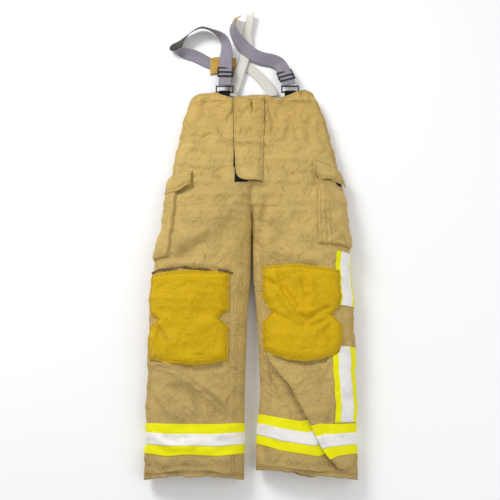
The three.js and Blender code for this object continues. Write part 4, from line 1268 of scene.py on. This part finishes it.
class BUNKER_OT_pockets(bpy.types.Operator):
    """Make the two cargo pockets with their bellows, and their flaps with hook strips"""

    bl_idname = "bunker.pockets"
    bl_label = "Cargo pockets"

    def execute(self, context):
        for side in SIDES:
            size = POCKET[side]
            sign = SIGN[side]

            def outer_edge(up, side=side):
                return profile(side, up * MM)[0] / MM

            def bag(u, v, size=size, side=side, sign=sign):
                up = lerp(size["bottom"], size["mouth"], v)
                inner = lerp(size["inner_low"], size["inner_top"], v)
                edge = outer_edge(up)
                x = lerp(inner, edge, u)
                if size["band"]:
                    up = up - 15 * smooth((x - 212) / 16) * smooth((v - 0.8) / 0.2)
                from_edge = np.minimum(x - inner, up - size["bottom"])
                swell = np.sin(math.pi * np.clip(v, 0, 1)) * 2
                full = smooth(from_edge / 5) * smooth((edge - x) / 4 + 0.35)
                lift = 1.2 + (POCKET_DEPTH - 1.5 + swell) * full
                if size["band"]:
                    lift = lift - 2.6 * np.exp(-(((x - inner - size["band"]) / 2.4) ** 2))
                    lift = creased(np.stack([x, up], axis=1), lift, BAG_FOLDS)
                else:
                    waves = smooth((x - inner - 8) / 12) * smooth((690 - up) / 60)
                    lift = lift + 1.5 * np.sin(up / 17) * waves
                return over_front(sign * x, up, lift)

            name = f"cargo_pocket_bag_{side}"
            pouch = laid(name, 44, 90, bag, UP, shell_cloth(), wall=1.5 * MM, front=True)
            finish_piece(pouch, [f"cargo_pocket_{side}"], body="root")

            # Painted shade: a strip of black tape lies in the pocket's mouth under the flap, where the shade
            # falls.
            def mouth(u, v, size=size, side=side, sign=sign):
                up = lerp(size["mouth"] - 24, size["mouth"] + 5, v)
                edge = outer_edge(up)
                return over_front(sign * lerp(size["inner_top"] + 8, edge - 1, u), up, 4 + 0 * u)

            mouth_shade_strip = laid(f"cargo_pocket_mouth_shade_{side}", 20, 6, mouth, UP, binding_tape(), wall=0.6 * MM)
            finish_piece(mouth_shade_strip, [], body="root")

            def flap(u, v, size=size, side=side, sign=sign, extra=0.0, inset=0.0):
                near, far = size["flap_top"][0][0] + inset, size["flap_low"][-1][0] - 1
                x = lerp(near, far, u)
                top, low = table(size["flap_top"], x) - inset, table(size["flap_low"], x) + inset
                up = lerp(low, top, v)
                edge = outer_edge(up) - 0.5
                ramp = smooth((top - up) / 16)
                corner = np.exp(-(((x - near) / 16) ** 2)) * np.exp(-(((up - low) / 20) ** 2))
                lift = 1.4 + FLAP_RISE * ramp + extra + size["corner"] * corner
                if side == "left":
                    lift = lift + 2.2 * np.sin(x / 7.5) * smooth((up * -1 + low + 26) / 22)
                return over_front(sign * np.minimum(x, edge), up, lift, folds=False)

            cover = laid(f"pocket_flap_{side}_face", 44, 28, flap, UP, shell_cloth(), wall=2 * MM, front=True)
            body = f"pocket_flap_{side}"
            finish_piece(cover, [body], body=body)

            def hooks(u, v, flap=flap):
                return flap(0.18 + 0.68 * u, 0.25 + 0.25 * v, extra=-2.4)

            tape = laid(f"pocket_hook_tape_{side}", 20, 6, hooks, UP, hook_tape(), wall=1 * MM)
            finish_piece(tape, [f"pocket_hook_strip_{side}"], body=body)
            self.stitch(side, size, bag, flap)
        return {"FINISHED"}

    def stitch(self, side, size, bag, flap):
        run = np.linspace(0.01, 0.99, 120)
        bag_rows = [(0.06, run), (run, 0.97), (run, 0.93)]
        if size["band"]:
            bag_rows.append((0.34, run))
        flap_rows = [(run, 0.091), (run, 0.182), (0.05, run), (run, 0.95)]
        work = (
            ("cargo_pocket_stitching", bag, bag_rows, "root"),
            ("pocket_flap_stitching", flap, flap_rows, f"pocket_flap_{side}"),
        )
        for name, cloth, rows, body in work:
            sewing = Sewing()
            for u, v in rows:
                sewing.row(cloth(0 * run + u, 0 * run + v) + (0, 0, THREAD_RISE))
            finish_piece(sewing.done(f"{name}_{side}"), [], body=body)


# Knee patches, in millimetres: the edges nearer the centre line and the side, as (height, distance),
# and the top and bottom edges, as (distance, height).
PATCH = {
    "right": {
        "inner": [(262, 60), (352, 60), (373, 84), (394, 59), (495, 59)],
        "outer": [(262, 246), (352, 256), (371, 232), (392, 257), (495, 256)],
        "top": [(49, 492), (150, 494), (257, 489)],
        "bottom": [(49, 273), (100, 261), (140, 256), (200, 263), (250, 275)],
    },
    "left": {
        "inner": [(270, 32), (345, 29), (368, 30), (388, 50), (405, 42), (428, 29), (505, 30)],
        "outer": [
            (270, 203), (320, 216), (350, 219), (366, 214), (381, 193), (398, 210), (412, 217), (505, 219),
        ],
        "top": [(24, 508), (111, 511), (219, 497)],
        "bottom": [(24, 302), (56, 282), (91, 270), (128, 266), (166, 272), (203, 286), (219, 300)],
    },
}
# Creases in the patches, as (line, width, height), how much they are strengthened, and the cushion's height.
PATCH_FOLDS = {
    "right": [
        ([(-246, 363), (-221, 338), (-199, 302)], 7, -5),
        ([(-252, 345), (-228, 318), (-215, 290)], 9, 3),
        ([(-225, 470), (-215, 380), (-206, 300)], 20, -2),
        ([(-190, 480), (-150, 400), (-130, 300)], 34, 2),
        ([(-245, 396), (-200, 384), (-150, 380)], 12, -2),
        ([(-64, 384), (-110, 378), (-160, 380)], 12, -2),
    ],
    "left": [
        ([(66, 508), (84, 440), (118, 378), (138, 350)], 6, -5),
        ([(52, 500), (70, 440), (100, 388)], 8, 4),
        ([(20, 482), (80, 443), (116, 388)], 7, -4),
        ([(127, 480), (130, 437), (136, 398)], 6, -4),
        ([(146, 490), (147, 440), (150, 396)], 9, 4),
        ([(206, 404), (176, 394), (149, 380), (122, 350)], 6, -5),
        ([(196, 378), (170, 362), (150, 352), (100, 350)], 6, -4),
        ([(200, 372), (172, 350), (146, 330)], 8, 4),
        ([(122, 318), (136, 296)], 6, -3),
        ([(100, 512), (126, 470)], 7, -3),
        ([(44, 392), (80, 372), (106, 364)], 7, -4),
        ([(80, 402), (116, 386), (166, 388)], 9, 4),
        ([(32, 340), (76, 330), (116, 338)], 12, 3),
    ],
}
CUSHION = 5.0
PATCH_FOLD = 1.35


def patch_point(side, u, v, extra=0.0, inset=0.0):
    size = PATCH[side]
    low, high = size["bottom"][0][1], size["top"][1][1]
    up = lerp(low, high, v)
    for _ in range(3):
        near, far = table(size["inner"], up) + inset, table(size["outer"], up) - inset
        x = lerp(near, far, u)
        up = lerp(table(size["bottom"], x) + inset, table(size["top"], x) - inset, v)
    spot = np.stack([SIGN[side] * x, up], axis=1)
    under, over = up - table(size["bottom"], x), table(size["top"], x) - up
    edge = np.minimum.reduce([x - near, far - x, under, over]) + inset
    lift = 2.6 + (CUSHION + 0.8) * smooth(edge / 20) + extra
    lift = creased(spot, lift, PATCH_FOLDS[side], PATCH_FOLD)
    pucker = 0.7 * np.sin(up / 4.2) * np.exp(-np.minimum(x - near, far - x) / 9)
    pucker = pucker + 0.7 * np.sin(x / 4.2) * np.exp(-edge / 9)
    return over_front(SIGN[side] * x, up, np.maximum(lift + pucker, 1.6 + extra), folds=False)


class BUNKER_OT_knees(bpy.types.Operator):
    """Make each knee's coated patch, with its two darts, and the cushion under it"""

    bl_idname = "bunker.knees"
    bl_label = "Knee patches"

    def execute(self, context):
        for side in SIDES:
            halves = ("upper", "lower")

            def coated(u, v, side=side):
                return patch_point(side, u, v)

            patch = laid(f"knee_patch_{side}", 80, 96, coated, UP, patch_cloth(), wall=1.5 * MM, front=True)
            bent(patch)
            nodes = [f"knee_patch_{side}_{half}" for half in halves]
            finish_piece(patch, nodes)

            def foam(u, v, side=side):
                return patch_point(side, u, v, extra=-3.6, inset=20)

            cushion = laid(f"knee_cushion_{side}", 40, 44, foam, UP, knee_foam(), wall=4 * MM)
            bent(cushion)
            finish_piece(cushion, [f"knee_cushion_{side}_{half}" for half in halves])
            if side == "right":
                self.fray()
            sewing = Sewing()
            run = np.linspace(0, 1, 160)
            for inset in (0.018, 0.035):
                for u, v in ((run, inset), (run, 1 - inset), (inset, run), (1 - inset, run)):
                    sewing.row(patch_point(side, 0 * run + u, 0 * run + v) + (0, 0, 0.4 * MM))
            piece = sewing.done(f"knee_patch_stitching_{side}")
            bent(piece)
        return {"FINISHED"}

    def fray(self):
        """The seam allowance over the patch has come open and stands up as a ragged lip; its dark colour is
        partly the frayed edge and partly painted shade under the bunched cloth over the patch's top.
        """

        def lip(u, v):
            x = lerp(FRAY[0][0], FRAY[-1][0], u)
            ragged = 1.2 * np.sin(x / 2.1) + 1.6 * np.sin(x / 5.3 + 1) + 0.9 * np.sin(x / 0.9)
            up = table(FRAY, x) - 10 + v * (5 + 0.8 * ragged)
            return over_front(x, up, 3 + 4 * v + 1.5 * np.sin(x / 7) * v, folds=False)

        piece = laid("knee_patch_frayed_lip_right", 260, 6, lip, UP, frayed_edge_and_shade(), wall=0.7 * MM)
        finish_piece(piece, [], body="root")


# The ragged lip over the right knee patch, darkened partly as painted shade, as (place, height) in
# millimetres.
FRAY = [(-252, 500), (-233, 506), (-200, 503), (-180, 508), (-140, 504), (-93, 502), (-50, 495)]


# The trim's own thickness.
TAPE = 0.7 * MM
# The left side trim's reach round to the front, as (height, distance from the side seam) in millimetres.
SIDE_TRIM = {"upper": (407, 548), "lower": (128, 305)}
SIDE_TRIM_REACH = [(128, 57), (190, 58), (250, 61), (300, 66), (407, 52), (480, 48), (549, 44)]


def wrapped(up, width):
    """Where a side trim lies, from its front edge: a share across the front, or below 0 across the back."""
    shares = share_across(np.linspace(0, 0.5, 60))
    found = np.zeros(len(up))
    for height in np.unique(up):
        mine = up == height
        runs = []
        for face in FACES:
            points = section("left", face, shares, np.full(60, height * MM))
            steps = np.linalg.norm(np.diff(points, axis=0), axis=1)
            runs.append(np.insert(np.cumsum(steps), 0, 0))
        outer, inner, _, _ = profile("left", height * MM)
        edge = np.interp(table(SIDE_TRIM_REACH, height) * MM / (outer - inner), shares, runs[0])
        along = edge - width[mine]
        front, back = [np.interp(np.abs(along), run, shares) for run in runs]
        found[mine] = np.where(along > 0, front, -back)
    return found


class BUNKER_OT_trim(bpy.types.Operator):
    """Make the reflective bands round the cuffs and along the left side"""

    bl_idname = "bunker.trim"
    bl_label = "Reflective trim"

    def execute(self, context):
        s = sizes()
        half = s.stripe / 2 / MM
        middle = (TRIM_LOW + TRIM_HIGH) / 2
        bands = {
            "lime": (TRIM_LOW, TRIM_HIGH, 1.0, lime_tape()),
            "silver": (middle - half, middle + half, 1.7, silver_tape()),
        }
        for side in SIDES:
            for face in FACES:
                for name, (low, high, lift, material) in bands.items():
                    def band(u, v, side=side, face=face, low=low, high=high, lift=lift):
                        t = share_across(u)
                        points = surface(side, face, t, lerp(low, high, v) * MM, lift * MM)
                        points[:, 2] = np.maximum(points[:, 2], 0.4 * MM)
                        return points

                    rows = 24 if name == "lime" else 9
                    piece = laid(
                        f"cuff_{name}_{face}_{side}", 128, rows, band, OUT[face], material, wall=TAPE
                    )
                    nodes = [f"cuff_trim_{face}_{side}"]
                    finish_piece(piece, nodes, body=f"{side}_shin")
        stripes = (
            ("lime", 0, s.trim, 48, 1.4, lime_tape()),
            ("silver", s.side_lime, s.side_stripe, 30, 2.1, silver_tape()),
        )
        for part, (low, high) in SIDE_TRIM.items():
            for name, inset, width, across, lift, material in stripes:
                def wrap(u, v, low=low, high=high, inset=inset, width=width, lift=lift):
                    up = lerp(low, high, v)
                    run = wrapped(up, inset + width * u)
                    t = np.abs(run)
                    front = surface("left", "front", np.where(run > 0, t, 0), up * MM, lift * MM)
                    back = surface("left", "back", np.where(run > 0, 0, t), up * MM, lift * MM)
                    points = np.where((run > 0)[:, None], front, back)
                    points[:, 2] = np.maximum(points[:, 2], 0.8 * MM)
                    return points

                piece = laid(f"side_{name}_{part}_left", across, 60, wrap, (1, 0, 0.2), material, wall=TAPE)
                if part == "upper":
                    bent(piece)
                else:
                    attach(piece, "left_shin")
                finish_piece(piece, [f"side_trim_left_{part}"])
        return {"FINISHED"}


# The suspenders' centre lines, in millimetres: x from the centre line, height over the cuffs and over the
# floor, and how far the band is rolled on its edge there, in degrees.
STRAPS = {
    "suspender_strap_right": [
        (-79, 1083, 25, 0), (-78, 1124, 20, 0), (-77, 1168, 18, 6), (-76, 1208, 20, 26), (-84, 1246, 22, 62),
        (
            -112, 1275, 23, 106
        ), (-152, 1293, 23, 122), (-188, 1275, 20, 124), (-214, 1248, 14, 140), (-231, 1225, 8, 190),
        (-226, 1211, 5, 262), (-202, 1208, 5, 318), (-170, 1200, 4, 344), (
            -140, 1184, 2.5, 358
        ), (-108, 1168, 1.5, 360),
    ],
    "suspender_strap_left": [
        (110, 1084, 26, 0), (101, 1115, 22, 0), (92, 1146, 19, 10), (80, 1166, 17, 28), (60, 1177, 16, 38),
        (34, 1184, 15, 30), (8, 1197, 15, 18), (-16, 1218, 15, 26), (-38, 1244, 18, 46), (-53, 1273, 20, 60),
        (-60, 1299, 18, 66), (-54, 1324, 14, 60),
    ],
}
# The leather tip that is sewn over the left strap's end.
STRAP_TIP = [(-56, 1311, 16.5, 60), (-53, 1322, 14.5, 58), (-48, 1334, 12, 50), (-43, 1344, 10, 44)]
ELASTICS = {
    "back_elastic_right": [
        (-58, 1054, 12, 0), (-49, 1091, 9, 4), (-34, 1146, 8, 8), (-21, 1197, 7, 8), (-13, 1237, 6, 14),
        (-15, 1277, 7, 26), (-9, 1319, 8, 34), (-3, 1358, 8, 40),
    ],
    "back_elastic_left": [
        (62, 1054, 12, 0), (56, 1078, 8, 0), (36, 1111, 5, 0), (8, 1144, 4, 0), (-14, 1164, 4, 0),
        (-30, 1172, 4, 0)
    ],
}


def ribbon(name, route, width, wall, steps, *materials):
    """A flat band along a smooth line through its route."""
    route = np.array(route, float)
    route[:, :3] *= MM
    route[:, 0] += CENTRE_X
    route[:, 1] += CUFF_Y
    ends = np.vstack([2 * route[0] - route[1], route, 2 * route[-1] - route[-2]])

    def on_line(run):
        i = np.clip(np.floor(run).astype(int), 0, len(route) - 2)
        f = (run - i)[:, None]
        a, b, c, d = ends[i], ends[i + 1], ends[i + 2], ends[i + 3]
        return 0.5 * (
            2 * b + (c - a) * f + (2 * a - 5 * b + 4 * c - d) * f**2 + (3 * b - a - 3 * c + d) * f**3
        )

    def place(u, v):
        run = v * (len(route) - 1)
        here = on_line(run)
        tangent = on_line(run + 0.02)[:, :3] - on_line(run - 0.02)[:, :3]
        tangent /= np.linalg.norm(tangent, axis=1)[:, None]
        level = np.stack([tangent[:, 1], -tangent[:, 0], np.zeros(len(run))], axis=1)
        level /= np.linalg.norm(level, axis=1)[:, None]
        normal = np.cross(level, tangent)
        roll = np.radians(here[:, 3])[:, None]
        side_way = level * np.cos(roll) + normal * np.sin(roll)
        points = here[:, :3] + side_way * ((u - 0.5) * width)[:, None]
        points[:, 2] = np.maximum(points[:, 2], wall + 0.0004)
        return points

    return laid(name, 10, steps, place, UP, *materials, wall=wall, offset=0)


class BUNKER_OT_suspenders(bpy.types.Operator):
    """Make the suspenders' webbing, the back elastics and the leather patch where they meet"""

    bl_idname = "bunker.suspenders"
    bl_label = "Suspenders"

    def execute(self, context):
        s = sizes()
        for name, route in STRAPS.items():
            piece = ribbon(
                f"{name}_webbing", route, s.webbing, 1.6 * MM, 150, webbing_cloth(False), webbing_cloth(True)
            )
            finish_piece(
                piece, [name],
                body="harness"
            )
            doubled = [(x, up - 2, z + 3.4, roll) for x, up, z, roll in route[:4]]
            fold = ribbon(
                f"{name}_doubled_end", doubled, s.webbing, 1.6 * MM, 50, webbing_cloth(False),
                webbing_cloth(True)
            )
            finish_piece(fold, [], body="harness")
        tip = ribbon("suspender_strap_left_tip", STRAP_TIP, 0.03, 2.2 * MM, 24, suede_leather())
        finish_piece(tip, [], body="harness")
        for name, route in ELASTICS.items():
            piece = ribbon(f"{name}_band", route, s.elastic, 1.4 * MM, 110, elastic_cloth())
            finish_piece(
                piece, [name],
                body="harness"
            )
        low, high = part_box("suspender_back_patch")

        def patch(u, v):
            x = lerp(low.x, high.x, u)
            y = lerp(low.y, high.y, v) + 0.006 * np.sin(math.pi * u)
            return np.stack([x, y, np.full(len(u), 0.0036) + 0.0006 * np.sin(9 * u) * np.sin(7 * v)], axis=1)

        leather = laid("suspender_leather_patch", 20, 16, patch, UP, suede_leather(), wall=2.2 * MM)
        finish_piece(leather, ["suspender_back_patch"], body="harness")
        return {"FINISHED"}


class BUNKER_OT_hardware(bpy.types.Operator):
    """Round the edges of the waist tabs, rings and adjusters"""

    bl_idname = "bunker.hardware"
    bl_label = "Buckles and rings"

    def execute(self, context):
        for side in SIDES:
            refined(
                f"waist_tab_{side}", binding_tape(), f"waist_tab_{side}_loop", "root",
                0.5 * MM
            )
            refined(
                f"waist_ring_{side}", black_acetal(), f"waist_ring_{side}_frame", "harness",
                0.5 * MM
            )
            refined(
                f"adjuster_{side}", black_acetal(), f"adjuster_{side}_frame", f"adjuster_{side}",
                0.5 * MM
            )
        return {"FINISHED"}


# The corners of the small boxes of stitches on the right shin and knee, in millimetres.
BAR_TACKS = [
    [(-106, 176), (-90, 176), (-90, 150), (-106, 150)],
    [(-151, 45), (-121, 45), (-121, 28), (-151, 28)],
    [(-47, 441), (-18, 438), (-22, 387), (-48, 389)],
]


class BUNKER_OT_stitching(bpy.types.Operator):
    """Sew the shell's hems, seams, waist and bar tacks"""

    bl_idname = "bunker.stitching"
    bl_label = "Stitching"

    def execute(self, context):
        s = sizes()
        run = np.linspace(0, 1, 300)
        for side in SIDES:
            sewing = Sewing()
            for face in FACES:
                across = share_across(0.02 + 0.96 * run)
                for height in (9, 13):
                    sewing.row(surface(side, face, across, height * MM, 0.3 * MM))
                top = rim_height(side, face, across)
                for drop in (6, 34):
                    sewing.row(surface(side, face, across, top - drop * MM, 0.3 * MM))
                for t in (0.02, 0.05):
                    sewing.row(surface(side, face, 0 * run + t, lerp(0.02, s.length - 0.03, run), 0.3 * MM))
                seam = lerp(0.02, s.crotch - 0.1, run)
                outer, inner, _, _ = profile(side, seam)
                for inset in (0.022, 0.028):
                    sewing.row(surface(side, face, 1 - inset / (outer - inner), seam, 0.3 * MM))
            if side == "right":
                for corners in BAR_TACKS:
                    closed = np.array([*corners, corners[0]], float)
                    steps = np.linspace(0, 4, 80)
                    x, up = [np.interp(steps, range(5), closed[:, i]) for i in (0, 1)]
                    sewing.row(over_front(x, up, 0.3))
            piece = sewing.done(f"shell_stitching_{side}")
            bent(piece)
        sewing = Sewing()
        up = lerp(FLY["bottom"] + 2, FLY["top"] - 2, run)
        free, sewn = fly_edges(up)
        for x in (free + 4, sewn - 4, sewn - 8):
            sewing.row(fly_point(x, up, 1.4))
        x = lerp(-50, 34, run)
        sewing.row(fly_point(x, 0 * run + FLY["top"] - 6, 1.4))
        piece = sewing.done("fly_flap_stitching")
        rolled(piece)
        return {"FINISHED"}


# ---- Studio ----

CAMERA_RISE = 1.442
CAMERA_SIDE = -0.005
CAMERA_UP = 0.025
CAMERA_TILT = math.radians(20)
CAMERA_LENS = 43.2
# Each lamp's place, size and power.
LAMPS = {"key": ((-1.7, 1.6, 1.9), 1.2, 60), "fill": ((1.8, -0.8, 2.2), 2.6, 25)}


class BUNKER_OT_studio(bpy.types.Operator):
    """Set up the paper floor, the soft lights and the camera"""

    bl_idname = "bunker.studio"
    bl_label = "Studio"

    def execute(self, context):
        scene = context.scene
        bm = bmesh.new()
        bmesh.ops.create_grid(bm, x_segments=1, y_segments=1, size=8)
        material, tree, shader, coordinate = started("matt_studio_paper")
        fibres = add(tree, "TexNoise", {"Vector": coordinate.outputs["Object"], "Scale": 90, "Detail": 3})
        bump = add(tree, "Bump", {"Strength": 0.03, "Distance": 0.001, "Height": fibres.outputs["Fac"]})
        tree.links.new(bump.outputs[0], shader.inputs["Normal"])
        shader.inputs["Base Color"].default_value = rgba(colours().floor)
        shader.inputs["Roughness"].default_value = 0.9
        floor = linked("floor", meshed(bm, "floor"), material)
        world = bpy.data.worlds.new("studio")
        world.use_nodes = True
        sky = world.node_tree.nodes["Background"]
        sky.inputs["Color"].default_value = (1, 1, 1, 1)
        sky.inputs["Strength"].default_value = 0.5
        scene.world = world
        for name, (place, size, power) in LAMPS.items():
            light = bpy.data.lights.new(name, "AREA")
            light.size, light.energy = size, power
            lamp = bpy.data.objects.new(name, light)
            lamp.location = place
            lamp.rotation_euler = (-Vector(place)).to_track_quat("-Z", "Y").to_euler()
            scene.collection.objects.link(lamp)
        camera = bpy.data.objects.new("camera", bpy.data.cameras.new("camera"))
        scene.collection.objects.link(camera)
        camera.data.lens = CAMERA_LENS
        camera.data.sensor_width = 36
        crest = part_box("knee_patch_right_upper")[1].z - 0.012
        camera.location = (CENTRE_X + CAMERA_SIDE, CUFF_Y + CAMERA_UP, crest + CAMERA_RISE)
        camera.rotation_euler = (CAMERA_TILT, 0, 0)
        scene.camera = camera
        scene.view_settings.view_transform = "Standard"
        return {"FINISHED"}


OPERATORS = (
    BUNKER_OT_studio, BUNKER_OT_shell, BUNKER_OT_linings, BUNKER_OT_fly, BUNKER_OT_zipper, BUNKER_OT_pockets,
    BUNKER_OT_knees, BUNKER_OT_trim, BUNKER_OT_suspenders, BUNKER_OT_hardware, BUNKER_OT_stitching,
)


class BUNKER_PT_panel(bpy.types.Panel):
    """The garment's sizes, colours and building steps"""

    bl_idname = "BUNKER_PT_panel"
    bl_label = "Bunker pants"
    bl_space_type = "VIEW_3D"
    bl_region_type = "UI"
    bl_category = "Bunker pants"

    def draw(self, context):
        for group in (context.scene.bunker_sizes, context.scene.bunker_colours):
            box = self.layout.box()
            for name in group.__annotations__:
                box.prop(group, name)
        for operator in OPERATORS:
            self.layout.operator(operator.bl_idname)


CLASSES = (GarmentSizes, GarmentColours, *OPERATORS, BUNKER_PT_panel)


def register():
    for cls in CLASSES:
        bpy.utils.register_class(cls)
    bpy.types.Scene.bunker_sizes = PointerProperty(type=GarmentSizes)
    bpy.types.Scene.bunker_colours = PointerProperty(type=GarmentColours)


def unregister():
    del bpy.types.Scene.bunker_sizes
    del bpy.types.Scene.bunker_colours
    for cls in reversed(CLASSES):
        bpy.utils.unregister_class(cls)


def main():
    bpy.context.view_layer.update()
    register()
    for operator in OPERATORS:
        group, name = operator.bl_idname.split(".")
        getattr(getattr(bpy.ops, group), name)()


if __name__ == "__main__":
    main()
